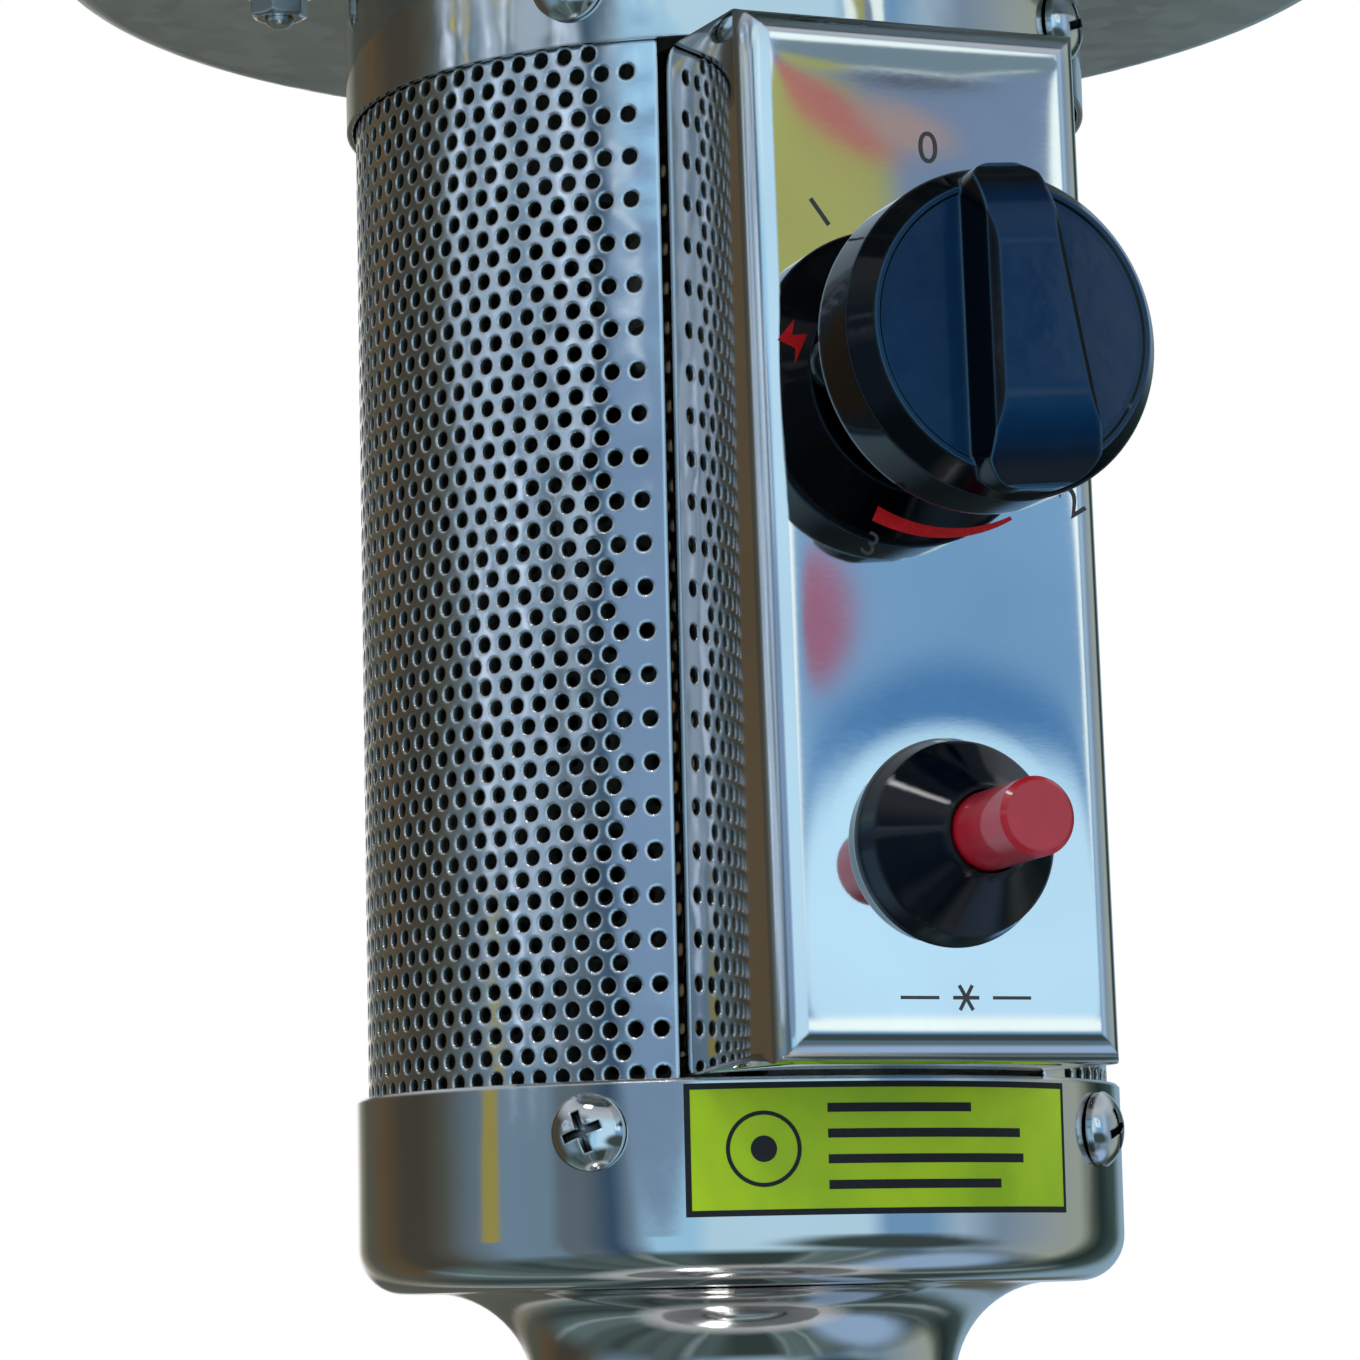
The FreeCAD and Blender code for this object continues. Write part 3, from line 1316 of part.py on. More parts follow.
def make_lock_nut():
    back = S["box_sheet"] + S["thread_gap"] + S["lock_nut_height"]
    nut = on_igniter_axis(hexagon("lock_nut", S["lock_nut_radius"], S["lock_nut_height"]), -back)
    hole = cylinder("lock_nut_hole", S["barrel_radius"] + S["thread_gap"], S["lock_nut_height"])
    on_igniter_axis(hole, -back)
    keep("igniter_nut", cut_from(nut, [hole]))


# Burner

mixer_foot = S["rim_height"] + S["mixer_foot_rise"]
mixer_top = tray_top + S["mixer_top"]


def make_burner_pipe():
    """From the valve's outlet to the axis and up into the jet."""
    start = panel_point(S["knob_side"], S["knob_rise"], -(block_back + S["port_length"] + pipe_gap))
    turn_height = start[2] + start[1] * tangent(panel_lean)
    route = [
        start,
        (0, 0, turn_height),
        (0, 0, mixer_foot - S["thread_gap"]),
    ]
    bend = S["burner_pipe_bend"]
    keep("burner_pipe", pipe("burner_pipe", route, S["burner_pipe_radius"], bend))


def make_jet():
    """Brass plug with the gas jet, in the foot of the mixing tube."""
    body = turned("jet", [
        (0, 0),
        (S["jet_radius"], 0),
        (S["jet_radius"], S["jet_height"] * 0.5),
        (S["burner_pipe_radius"], S["jet_height"] * 0.6),
        (S["burner_pipe_radius"] / 2, S["jet_height"]),
        (0, S["jet_height"]),
    ])
    keep("gas_jet", place(body, z=mixer_foot))


def make_mixer():
    """Mixing tube: air enters by its windows, gas from the jet in its foot."""
    inside = S["mixer_radius"] - S["mixer_wall"]
    floor = S["jet_radius"] + S["mixer_gap"]
    length = mixer_top - mixer_foot
    tube = turned("mixer", [
        (floor, 0),
        (S["mixer_radius"], 0),
        (S["mixer_radius"], length),
        (inside, length),
        (inside, S["jet_height"]),
        (floor, S["jet_height"]),
    ])
    place(tube, z=mixer_foot)
    window = S["mixer_window"]
    foot = mixer_foot + S["mixer_window_lift"]
    wide = S["mixer_radius"] * 3
    tools = []
    for turn in (0, 90):
        slot = block("mixer_window", wide, S["mixer_radius"], window)
        rotation = FreeCAD.Rotation(FreeCAD.Vector(0, 0, 1), turn)
        corner = rotation.multVec(vector(-wide / 2, -S["mixer_radius"] / 2, 0))
        slot.Placement = FreeCAD.Placement(corner + vector(0, 0, foot), rotation)
        tools.append(slot)
    keep("mixing_tube", cut_from(tube, tools))


def make_tray():
    """Round tray under the flame, with a turned-up edge, seen from below in use."""
    edge = S["tray_edge"]
    thick = S["tray_sheet"]
    hole = S["mixer_radius"] + S["sheet_gap"]
    body = turned("tray", [
        (hole, 0),
        (S["tray_radius"] - edge, 0, edge, "left"),
        (S["tray_radius"], edge),
        (S["tray_radius"] - thick, edge, edge - thick, "right"),
        (S["tray_radius"] - edge, thick),
        (hole, thick),
    ])
    place(body, z=tray_height)
    tools = tube_holes("tray_tube_hole", tray_height)
    for spot in stay_spots(tray_height - thick):
        hole = cylinder("stud_hole", S["stud_radius"] + S["screw_slack"], thick * 3)
        hole.Placement = spot
        tools.append(hole)
    keep("burner_tray", cut_from(body, tools))


def make_burner_head():
    """Closed can on the mixing tube. Its top is the perforated flame plate."""
    thick = S["burner_sheet"]
    outside = S["burner_radius"]
    hole = S["mixer_radius"] + S["mixer_gap"]
    height = S["burner_height"]
    body = turned("burner_head", [
        (hole, 0),
        (outside, 0),
        (outside, height),
        (0, height),
        (0, height - thick),
        (outside - thick, height - thick),
        (outside - thick, thick),
        (hole, thick),
    ])
    keep("burner_head", place(body, z=tray_top + S["burner_lift"]))


def make_screen():
    """Perforated emitter screen, standing on the tray by its flange."""
    thick = S["screen_sheet"]
    outside = S["screen_radius"]
    body = turned("screen", [
        (outside - thick, 0),
        (outside + S["screen_flange"] - thick, 0),
        (outside + S["screen_flange"] - thick, thick),
        (outside, thick),
        (outside, S["screen_height"]),
        (outside - thick, S["screen_height"]),
    ])
    keep("emitter_screen", place(body, z=tray_top))


def make_cap():
    """Domed cap over the screen's top."""
    thick = S["cap_sheet"]
    inside = S["screen_radius"] + S["cap_gap"]
    outside = inside + thick
    crown = S["cap_crown"]
    flat = S["cap_flat_radius"]
    bend = S["cap_bend"]
    body = turned("cap", [
        (inside, -S["cap_skirt"]),
        (outside, -S["cap_skirt"]),
        (outside, thick, bend, "left"),
        (flat, crown + thick),
        (0, crown + thick),
        (0, crown),
        (flat, crown, bend - thick, "right"),
        (inside, thick * 0.3),
    ])
    keep("emitter_cap", place(body, z=tray_top + S["screen_height"]))


# Reflector and its stays

def make_stays():
    """Stays with a thinner threaded stud at each end."""
    length = S["stay_length"]
    stud = S["stud_length"]
    bevel = S["stud_bevel"]
    stay = turned("stay", [
        (0, -stud),
        (S["stud_radius"] - bevel, -stud),
        (S["stud_radius"], bevel - stud),
        (S["stud_radius"], 0),
        (S["stay_radius"], 0),
        (S["stay_radius"], length),
        (S["stud_radius"], length),
        (S["stud_radius"], length + stud - bevel),
        (S["stud_radius"] - bevel, length + stud),
        (0, length + stud),
    ])
    copies("reflector_stays", stay, stay_spots(tray_top))


def make_washers(label, height):
    hole = S["stud_radius"] + S["screw_slack"]
    washer = turned(label + "_one", [
        (hole, 0),
        (S["washer_radius"], 0),
        (S["washer_radius"], S["washer_thickness"]),
        (hole, S["washer_thickness"]),
    ])
    copies(label, washer, stay_spots(height))


def nut_bore(name):
    """Hole for the stud's threaded end, closed where the nut is a dome nut."""
    depth = S["stud_length"] - S["tray_sheet"] - S["washer_thickness"] + S["overlap"] / 2
    return cylinder(name, S["stud_radius"] + S["thread_gap"], depth)


def make_tray_nuts():
    """Plain hexagon nuts under the tray, their lower corners bevelled, with the studs showing."""
    height = S["nut_height"]
    radius = S["nut_radius"]
    prism = hexagon("tray_nut_hex", radius, height)
    rounding = turned("tray_nut_rounding", [
        (0, 0),
        (radius, 0),
        (radius, height - S["nut_bevel"]),
        (radius - S["nut_bevel"] * 2, height),
        (0, height),
    ])
    rounded = doc.addObject("Part::MultiCommon", "tray_nut_rounded")
    rounded.Shapes = [prism, rounding]
    nut = cut_from(rounded, [nut_bore("tray_nut_bore")])
    upside_down = FreeCAD.Placement(FreeCAD.Vector(), FreeCAD.Rotation(FreeCAD.Vector(1, 0, 0), 180))
    seat = tray_height - S["washer_thickness"]
    copies("tray_nuts", nut, [spot.multiply(upside_down) for spot in stay_spots(seat)])


def make_reflector_nuts():
    """Dome nuts on top of the reflector."""
    height = S["nut_height"]
    dome = S["nut_radius"] * 0.8
    prism = hexagon("reflector_nut_hex", S["nut_radius"], height)
    crown = turned("reflector_nut_dome", [
        (0, height),
        (dome, height, dome, "left"),
        (0, height + dome),
    ])
    nut = cut_from(joined("reflector_nut_solid", [prism, crown]), [nut_bore("reflector_nut_bore")])
    seat = reflector_height + S["reflector_sheet"] + S["washer_thickness"]
    copies("reflector_nuts", nut, stay_spots(seat))


def make_reflector():
    """Spun dish: flat middle, skirt that sweeps down and a turned-down edge."""
    thick = S["reflector_sheet"]
    flat = S["reflector_flat_radius"]
    rim = S["reflector_radius"]
    fall = S["reflector_fall"]
    edge = S["reflector_edge"]
    sweep = S["reflector_bend"]
    body = turned("reflector", [
        (0, 0),
        (flat, 0, sweep - thick, "right"),
        (rim - thick, -fall),
        (rim - thick, -(fall + edge)),
        (rim, -(fall + edge)),
        (rim, -fall + thick * 0.4, sweep, "left"),
        (flat, thick),
        (0, thick),
    ])
    place(body, z=reflector_height)
    tools = []
    for spot in stay_spots(reflector_height - thick):
        hole = cylinder("reflector_hole", S["stud_radius"] + S["screw_slack"], thick * 3)
        hole.Placement = spot
        tools.append(hole)
    keep("reflector", cut_from(body, tools))


# Pilot, flame sensor, spark and tilt switch

def flame_lead(label, port_side, side, radius):
    """A thin tube from one of the valve's upper ports to the tray, past the box's top."""
    straight = S["pilot_tube_bend"] * 1.5
    mouth = S["port_length"] + pipe_gap
    start = valve_port(port_side, block_high, block_middle, mouth)
    above = valve_port(port_side, block_high, block_middle, mouth + straight)
    turn_height = above[2] + S["pilot_tube_bend"] * 2
    route = [
        start,
        above,
        (side, -S["pilot_reach"], turn_height),
        (side, -S["pilot_reach"], tray_top - pipe_gap),
    ]
    keep(label, pipe(label, route, radius, S["pilot_tube_bend"]))


def make_pilot():
    """Pilot burner on the tray and its tube from the valve."""
    flame_lead("pilot_tube", S["pilot_port_side"], S["pilot_side"], S["pilot_tube_radius"])
    head = S["pilot_head_radius"]
    long = S["pilot_head_length"]
    body = turned("pilot", [
        (0, 0),
        (head, 0),
        (head, long * 0.8),
        (head * 0.6, long),
        (0, long),
    ])
    keep("pilot_burner", place(body, S["pilot_side"], -S["pilot_reach"], tray_top))


def make_flame_sensor():
    """Thermocouple: a thin lead from the valve with a thicker tip beside the pilot."""
    flame_lead("sensor_lead", S["sensor_port_side"], -S["pilot_side"], S["sensor_radius"])
    tip = cylinder("flame_sensor", S["sensor_tip_radius"], S["sensor_tip_length"])
    keep("flame_sensor", place(tip, -S["pilot_side"], -S["pilot_reach"], tray_top))


def make_spark():
    """Electrode on the tray and its lead from the igniter's terminal."""
    depth = S["barrel_depth"] + S["terminal_length"] + pipe_gap
    bend = S["spark_lead_bend"]
    start = panel_point(S["igniter_side"], S["igniter_rise"], -depth)
    behind = panel_point(S["igniter_side"], S["igniter_rise"], -(depth + bend * 2))
    side = S["spark_lead_side"]
    back = S["spark_lead_back"]
    low = behind[2] + bend * 2.5
    high = mixer_foot + S["mixer_window_lift"]
    route = [
        start,
        behind,
        (side, back, low),
        (side, back * 0.3, high),
        (as_size(0), -S["pilot_reach"], high + bend * 2),
        (as_size(0), -S["pilot_reach"], tray_top - pipe_gap),
    ]
    keep("spark_lead", pipe("spark_lead", route, S["spark_lead_radius"], bend))
    ceramic = cylinder("electrode_sleeve", S["electrode_radius"], S["electrode_length"])
    place(ceramic, 0, -S["pilot_reach"], tray_top)
    wire = cylinder("electrode_wire", S["wire_radius"], S["wire_length"])
    place(wire, 0, -S["pilot_reach"], tray_top + S["electrode_length"])
    keep("spark_electrode", joined("electrode", [ceramic, wire]))


def make_tilt_switch():
    """Switch that shuts the gas when the heater tips, on the back of the sleeve's inside."""
    back = root(sleeve_inside * sleeve_inside - S["switch_width"] * S["switch_width"] / 4) - S["switch_gap"]
    body = block("tilt_case", S["switch_width"], S["switch_depth"], S["switch_height"])
    place(body, -S["switch_width"] / 2, back - S["switch_depth"], S["rim_height"] + S["switch_rise"])
    keep("tilt_switch", body)


def make_label():
    """Blank label on the cup under the panel."""
    inside = S["cup_radius"] + S["seat_gap"]
    outside = inside + S["label_thickness"]
    top = -S["label_drop"]
    low = top - S["label_height"]
    body = turned("label", [
        (inside, low),
        (outside, low),
        (outside, top),
        (inside, top),
    ], sweep=S["label_sweep"])
    middle = S["label_start"] + S["label_sweep"] / 2
    keep("cup_label", place(body, z=S["rim_height"], turn=middle - 90))


make_feet()
make_weight()
make_base_shell()
make_foot_plate()
make_middle_bolt()
make_post()
make_foot_cover()
make_gas_inlet()
make_supply_pipe()
make_cup()
make_case_screws("cup_screws", S["cup_radius"], screw_height("cup"))
make_sleeve()
make_collar()
make_case_screws("collar_screws", S["collar_radius"], screw_height("collar"))
make_lower_ring()
make_upper_ring()
make_control_box()
make_valve()
make_stem()
make_spring_seat()
make_stem_spring()
make_valve_screws()
make_knob()
make_igniter()
make_bezel()
make_button()
make_button_spring()
make_lock_nut()
make_burner_pipe()
make_jet()
make_mixer()
make_tray()
make_burner_head()
make_screen()
make_cap()
make_stays()
make_washers("tray_washers", tray_height - S["washer_thickness"])
make_washers("reflector_washers", reflector_height + S["reflector_sheet"])
make_tray_nuts()
make_reflector_nuts()
make_reflector()
make_pilot()
make_flame_sensor()
make_spark()
make_tilt_switch()
make_label()

doc.recompute()
check_objects()
os.makedirs("parts", exist_ok=True)
for label, thing in pieces:
    thing.Shape.exportStep(f"parts/{label}.step")
    print(f"{label}: {thing.Shape.Volume:.1f} mm3, {len(thing.Shape.Solids)} solids")
print(len(pieces), "pieces")
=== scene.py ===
"""Looks of the tabletop patio heater: finishes, perforated sheets, prints, light and camera."""

import json
import math

import bpy
from mathutils import Matrix, Vector


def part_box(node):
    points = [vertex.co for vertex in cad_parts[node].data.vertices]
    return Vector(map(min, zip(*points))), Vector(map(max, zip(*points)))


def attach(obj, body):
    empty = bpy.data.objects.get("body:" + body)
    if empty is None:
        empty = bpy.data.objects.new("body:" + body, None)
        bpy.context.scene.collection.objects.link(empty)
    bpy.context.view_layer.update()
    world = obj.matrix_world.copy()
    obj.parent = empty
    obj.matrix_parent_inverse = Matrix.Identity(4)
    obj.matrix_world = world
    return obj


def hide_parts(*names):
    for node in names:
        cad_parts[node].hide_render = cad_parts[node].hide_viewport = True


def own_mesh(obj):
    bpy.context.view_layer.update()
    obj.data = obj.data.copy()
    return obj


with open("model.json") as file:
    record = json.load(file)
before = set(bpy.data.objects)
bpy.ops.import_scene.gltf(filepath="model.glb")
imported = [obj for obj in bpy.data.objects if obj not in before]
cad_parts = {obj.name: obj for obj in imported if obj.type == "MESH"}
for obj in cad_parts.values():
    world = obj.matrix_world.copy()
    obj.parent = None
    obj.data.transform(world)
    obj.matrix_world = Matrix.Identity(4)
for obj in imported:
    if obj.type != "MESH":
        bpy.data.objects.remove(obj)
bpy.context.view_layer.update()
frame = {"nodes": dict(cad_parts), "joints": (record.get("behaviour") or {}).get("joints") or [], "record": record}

MM = 0.001
BODY = "heater"

# Places read from the frame
CUP_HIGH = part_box("control_cup")[1]
RIM = CUP_HIGH.z
CUP_RADIUS = CUP_HIGH.x
SLEEVE_LOW, SLEEVE_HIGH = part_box("perforated_sleeve")
BOX_LOW, BOX_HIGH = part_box("control_box")
SCREEN_LOW, SCREEN_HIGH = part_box("emitter_screen")
KNOB_JOINT = next(joint for joint in frame["joints"] if joint["name"] == "knob_turn")
KNOB_FOOT = Vector(KNOB_JOINT["pos_m"])
PANEL_NORMAL = Vector(KNOB_JOINT["axis"]).normalized()
PANEL_UP = Vector((0, PANEL_NORMAL.z, -PANEL_NORMAL.y))
PANEL_RIGHT = Vector((1, 0, 0))

# Places on the panel, in millimetres right of, up from and out of its foot
KNOB_SIDE, KNOB_RISE = 1, 84
IGNITER_SIDE, IGNITER_RISE = 0.35, 26.2
PRINT_LIFT = 0.03
PANEL_FOOT = KNOB_FOOT - (PANEL_UP * KNOB_RISE + PANEL_RIGHT * KNOB_SIDE) * MM

# The photograph's camera
PHOTO_SIZE = 1360
FOCAL_PIXELS = 4758.2
CENTRE_X_PIXELS = 629.1
CENTRE_Y_PIXELS = 664.7
CAMERA_DISTANCE = 627.7 * MM
CAMERA_AZIMUTH = 22.33
CAMERA_DROP = 28.4 * MM
LOOK_AZIMUTH = 21.14
LOOK_ELEVATION = 7.78
CAMERA_ROLL = -1.21


def on_panel(side, rise, out=0.0):
    """A point from distances right of, up and out of the panel's foot, in millimetres."""
    return PANEL_FOOT + (PANEL_RIGHT * side + PANEL_UP * rise + PANEL_NORMAL * out) * MM


def on_wall(radius, azimuth, height):
    """A point on an upright cylinder: radius and height in metres, degrees from the front."""
    angle = math.radians(azimuth)
    return Vector((radius * math.sin(angle), -radius * math.cos(angle), height))


# Node helpers

class Nodes:
    """Short ways to build a node tree. A value is a socket, a number, or a colour as a tuple."""

    def __init__(self, tree):
        self.tree = tree

    def node(self, kind, **values):
        node = self.tree.nodes.new(kind)
        for key, value in values.items():
            setattr(node, key, value)
        return node

    def link(self, source, target):
        self.tree.links.new(source, target)

    def feed(self, value, target):
        """Links a socket, or sets a number or a colour."""
        if isinstance(value, tuple):
            target.default_value = (*value, 1)
        elif isinstance(value, (int, float)):
            target.default_value = value
        else:
            self.link(value, target)

    def math(self, operation, *values):
        node = self.node("ShaderNodeMath", operation=operation)
        for value, socket in zip(values, node.inputs):
            self.feed(value, socket)
        return node.outputs[0]

    def added(self, *sources):
        total = sources[0]
        for source in sources[1:]:
            total = self.math("ADD", total, source)
        return total

    def times(self, source, factor):
        return self.math("MULTIPLY", source, factor)

    def vector(self, operation, first, second=None, output="Value"):
        """Vector arithmetic on a socket and on a socket or a fixed vector."""
        node = self.node("ShaderNodeVectorMath", operation=operation)
        self.link(first, node.inputs[0])
        if isinstance(second, (tuple, Vector)):
            node.inputs[1].default_value = second
        elif second is not None:
            self.link(second, node.inputs[1])
        return node.outputs[output]

    def ranged(self, source, low, high, start=0.35, end=0.65, **values):
        """Maps start to end, by default a texture's middle range, to low and high."""
        ranged = self.node("ShaderNodeMapRange", **values)
        for socket, value in (("From Min", start), ("From Max", end), ("To Min", low), ("To Max", high)):
            ranged.inputs[socket].default_value = value
        self.link(source, ranged.inputs["Value"])
        return ranged.outputs["Result"]

    def mixed(self, factor, colour_a, colour_b):
        mix = self.node("ShaderNodeMix", data_type="RGBA")
        colour_inputs, colour_output = (6, 7), 2
        self.link(factor, mix.inputs["Factor"])
        for index, colour in zip(colour_inputs, (colour_a, colour_b)):
            self.feed(colour, mix.inputs[index])
        return mix.outputs[colour_output]

    def ramp(self, source, stops):
        """Colours along a source: pairs of position and colour, in rising order."""
        ramp = self.node("ShaderNodeValToRGB")
        elements = ramp.color_ramp.elements
        while len(elements) < len(stops):
            elements.new(1.0)
        for element, (position, colour) in zip(elements, stops):
            element.position = position
            element.color = (*colour, 1)
        self.link(source, ramp.inputs["Fac"])
        return ramp.outputs["Color"]


class Finish(Nodes):
    """A material with a principled shader, driven by textures in object coordinates."""

    def __init__(self, name, colour, roughness, metallic=0.0):
        self.material = bpy.data.materials.new(name)
        self.material.use_nodes = True
        super().__init__(self.material.node_tree)
        self.shader = self.tree.nodes["Principled BSDF"]
        self.set("Base Color", (*colour, 1))
        self.set("Roughness", roughness)
        self.set("Metallic", metallic)
        self.material.diffuse_color = (*colour, 1)
        self.coordinates = self.node("ShaderNodeTexCoord").outputs["Object"]

    def set(self, socket, value):
        self.shader.inputs[socket].default_value = value

    def noise(self, size, detail=3.0, stretch=(1, 1, 1), distortion=0.0):
        """Noise whose features are about size metres across, stretched along the three axes."""
        mapping = self.node("ShaderNodeMapping")
        mapping.inputs["Scale"].default_value = stretch
        self.link(self.coordinates, mapping.inputs["Vector"])
        noise = self.node("ShaderNodeTexNoise")
        noise.inputs["Scale"].default_value = 1 / size
        noise.inputs["Detail"].default_value = detail
        noise.inputs["Distortion"].default_value = distortion
        self.link(mapping.outputs["Vector"], noise.inputs["Vector"])
        return noise.outputs[0]

    def axis(self, name):
        """One of the object coordinates X, Y and Z."""
        parts = self.node("ShaderNodeSeparateXYZ")
        self.link(self.coordinates, parts.inputs[0])
        return parts.outputs[name]

    def rounded_normal(self, radius, samples=4):
        """The surface's normal as if its edges were rounded."""
        bevel = self.node("ShaderNodeBevel", samples=samples)
        bevel.inputs["Radius"].default_value = radius
        return bevel.outputs["Normal"]

    def colour_from(self, source):
        self.link(source, self.shader.inputs["Base Color"])

    def colour_by(self, texture, colour_a, colour_b, start=0.35, end=0.65):
        self.colour_from(self.mixed(self.ranged(texture, 0, 1, start, end), colour_a, colour_b))

    def roughness_by(self, texture, low, high, start=0.35, end=0.65):
        self.link(self.ranged(texture, low, high, start, end), self.shader.inputs["Roughness"])

    def bumps_from(self, height, depth, round_edges=0.0):
        """Height field of depth metres, over edges rounded by a small radius."""
        bump = self.node("ShaderNodeBump")
        bump.inputs["Strength"].default_value = 1.0
        bump.inputs["Distance"].default_value = depth
        self.link(height, bump.inputs["Height"])
        if round_edges:
            self.link(self.rounded_normal(round_edges), bump.inputs["Normal"])
        self.link(bump.outputs["Normal"], self.shader.inputs["Normal"])


# Finishes

def steel(name, colour=(0.60, 0.595, 0.58), roughness=(0.05, 0.11), waves=0.02, wave_size=0.03,
          grain=(1, 1, 1), recess_shade_reach=0.0):
    """Stainless sheet: slow waves in the polish, fine rubbing marks and faint smears, and, given a
    reach in metres, painted shade that darkens recesses narrower than that."""
    finish = Finish(name, colour, roughness[0], metallic=1.0)
    smear = finish.noise(0.035, detail=4, distortion=0.6)
    dark = tuple(channel * 0.93 for channel in colour)
    tone = finish.mixed(finish.ranged(smear, 0, 1), dark, colour)
    if recess_shade_reach:
        # Painted shade: a near-black colour laid into recesses by ambient occlusion
        grime = (0.02, 0.02, 0.022)
        recess = finish.node("ShaderNodeAmbientOcclusion", samples=8)
        recess.inputs["Distance"].default_value = recess_shade_reach
        tone = finish.mixed(finish.ranged(recess.outputs["AO"], 0, 1, 0.35, 0.85), grime, tone)
    finish.colour_from(tone)
    rubbing = finish.noise(0.0012, detail=2, stretch=grain)
    finish.roughness_by(finish.added(finish.times(smear, 0.7), finish.times(rubbing, 0.3)), *roughness)
    slow = finish.noise(wave_size, detail=1)
    fine = finish.times(rubbing, 0.012)
    finish.bumps_from(finish.added(slow, fine), waves * wave_size, round_edges=0.0004)
    return finish.material


def pressed_panel_steel():
    """Polished sheet of the control box, rounded over towards its bends and dished round the igniter."""
    finish = Finish("panel_steel", (0.64, 0.64, 0.64), 0.03, metallic=1.0)
    smear = finish.noise(0.03, detail=4, distortion=0.5)
    finish.colour_by(smear, (0.60, 0.60, 0.605), (0.66, 0.66, 0.66))
    rubbing = finish.noise(0.0012, detail=2, stretch=(1, 1, 3))
    finish.roughness_by(finish.added(finish.times(smear, 0.6), finish.times(rubbing, 0.4)), 0.025, 0.045)
    half_width = (BOX_HIGH.x - BOX_LOW.x) / 2
    half_height = (BOX_HIGH.z - BOX_LOW.z) / 2
    across = falling_edge(finish, finish.axis("X"), middle=0, reach=half_width, power=16)
    middle = BOX_LOW.z + half_height
    along = falling_edge(finish, finish.axis("Z"), middle, reach=half_height, power=40)
    dish = round_dish(finish, on_panel(IGNITER_SIDE, IGNITER_RISE), reach=0.016, depth=0.12)
    slow = finish.times(finish.noise(0.03, detail=1), 0.06)
    fine = finish.times(rubbing, 0.0005)
    finish.bumps_from(finish.added(across, along, dish, slow, fine), 0.00045, round_edges=0.0004)
    return finish.material


def falling_edge(finish, source, middle, reach, power):
    """Height that stays level and falls steeply near the reach on both sides."""
    share = finish.times(finish.math("SUBTRACT", source, middle), 1 / reach)
    return finish.times(finish.math("POWER", finish.math("ABSOLUTE", share), power), -1)


def round_dish(finish, centre, reach, depth):
    """Height that sinks to depth at a point, as a smooth bell."""
    distance = finish.vector("DISTANCE", finish.coordinates, centre)
    return finish.ranged(distance, -depth, 0, 0, reach, interpolation_type="SMOOTHSTEP")


def spun_metal(name, colour, roughness):
    """Sheet turned on a lathe: rings round the upright axis."""
    finish = Finish(name, colour, roughness[0], metallic=1.0)
    flat = finish.vector("MULTIPLY", finish.coordinates, (1, 1, 0), output="Vector")
    rings = finish.node("ShaderNodeTexNoise", noise_dimensions="1D")
    rings.inputs["Scale"].default_value = 900
    rings.inputs["Detail"].default_value = 3
    finish.link(finish.vector("LENGTH", flat), rings.inputs["W"])
    smear = finish.noise(0.06, detail=4, distortion=0.8)
    finish.colour_by(smear, tuple(channel * 0.9 for channel in colour), colour)
    marks = finish.added(finish.times(rings.outputs[0], 0.6), finish.times(smear, 0.4))
    finish.roughness_by(marks, *roughness)
    finish.bumps_from(rings.outputs[0], 0.00002)
    return finish.material


def galvanised():
    """Zinc-coated sheet with dull spangles."""
    finish = Finish("galvanised", (0.42, 0.43, 0.41), 0.35, metallic=0.75)
    cells = finish.node("ShaderNodeTexVoronoi")
    cells.inputs["Scale"].default_value = 260
    finish.link(finish.coordinates, cells.inputs["Vector"])
    spangle = finish.node("ShaderNodeSeparateColor")
    finish.link(cells.outputs["Color"], spangle.inputs[0])
    smear = finish.noise(0.05, detail=4, distortion=0.4)
    tone = finish.added(finish.times(spangle.outputs[0], 0.35), finish.times(smear, 0.65))
    finish.colour_by(tone, (0.36, 0.38, 0.34), (0.50, 0.52, 0.47), 0.2, 0.8)
    finish.roughness_by(tone, 0.25, 0.42, 0.2, 0.8)
    finish.bumps_from(finish.noise(0.05, detail=2), 0.0006)
    return finish.material


def gloss_black():
    """Moulded black plastic, glossy, with a faint orange-peel and dust."""
    black = (0.0006, 0.002, 0.006)
    finish = Finish("gloss_black", black, 0.06)
    finish.set("IOR", 1.38)
    dust = finish.noise(0.004, detail=5)
    finish.colour_by(dust, black, (0.004, 0.006, 0.010), 0.45, 0.9)
    finish.roughness_by(dust, 0.04, 0.09)
    finish.bumps_from(finish.noise(0.0025, detail=2), 0.000008, round_edges=0.001)
    return finish.material


def knob_plastic():
    """The knob's plastic: black sides, a painted blue reflection on the faces that look away from the
    panel, and a painted highlight that makes its edges paler."""
    black = (0.0003, 0.0012, 0.003)
    painted_edge_highlight = (0.03, 0.12, 0.22)
    finish = Finish("knob_plastic", (0.001, 0.02, 0.06), 0.06)
    finish.set("IOR", 1.3)
    dust = finish.noise(0.004, detail=5)
    # Painted reflection: blue laid into the colour of the faces that look away from the panel
    painted_blue_reflection = finish.mixed(finish.ranged(dust, 0, 1, 0.4, 0.8), (0.002, 0.025, 0.078), (0.003, 0.032, 0.092))
    surface = finish.node("ShaderNodeNewGeometry").outputs["Normal"]
    outward = finish.ranged(finish.vector("DOT_PRODUCT", surface, PANEL_NORMAL), 0, 1, 0.8, 0.97)
    tone = finish.mixed(outward, black, painted_blue_reflection)
    # Painted highlight: pale blue where the rounded normal turns away, along the edges
    level = finish.vector("DOT_PRODUCT", finish.rounded_normal(0.0006, samples=8), surface)
    finish.colour_from(finish.mixed(finish.ranged(level, 1, 0, 0.82, 0.99), tone, painted_edge_highlight))
    finish.roughness_by(dust, 0.05, 0.1)
    finish.bumps_from(finish.noise(0.0025, detail=2), 0.000008, round_edges=0.001)
    return finish.material


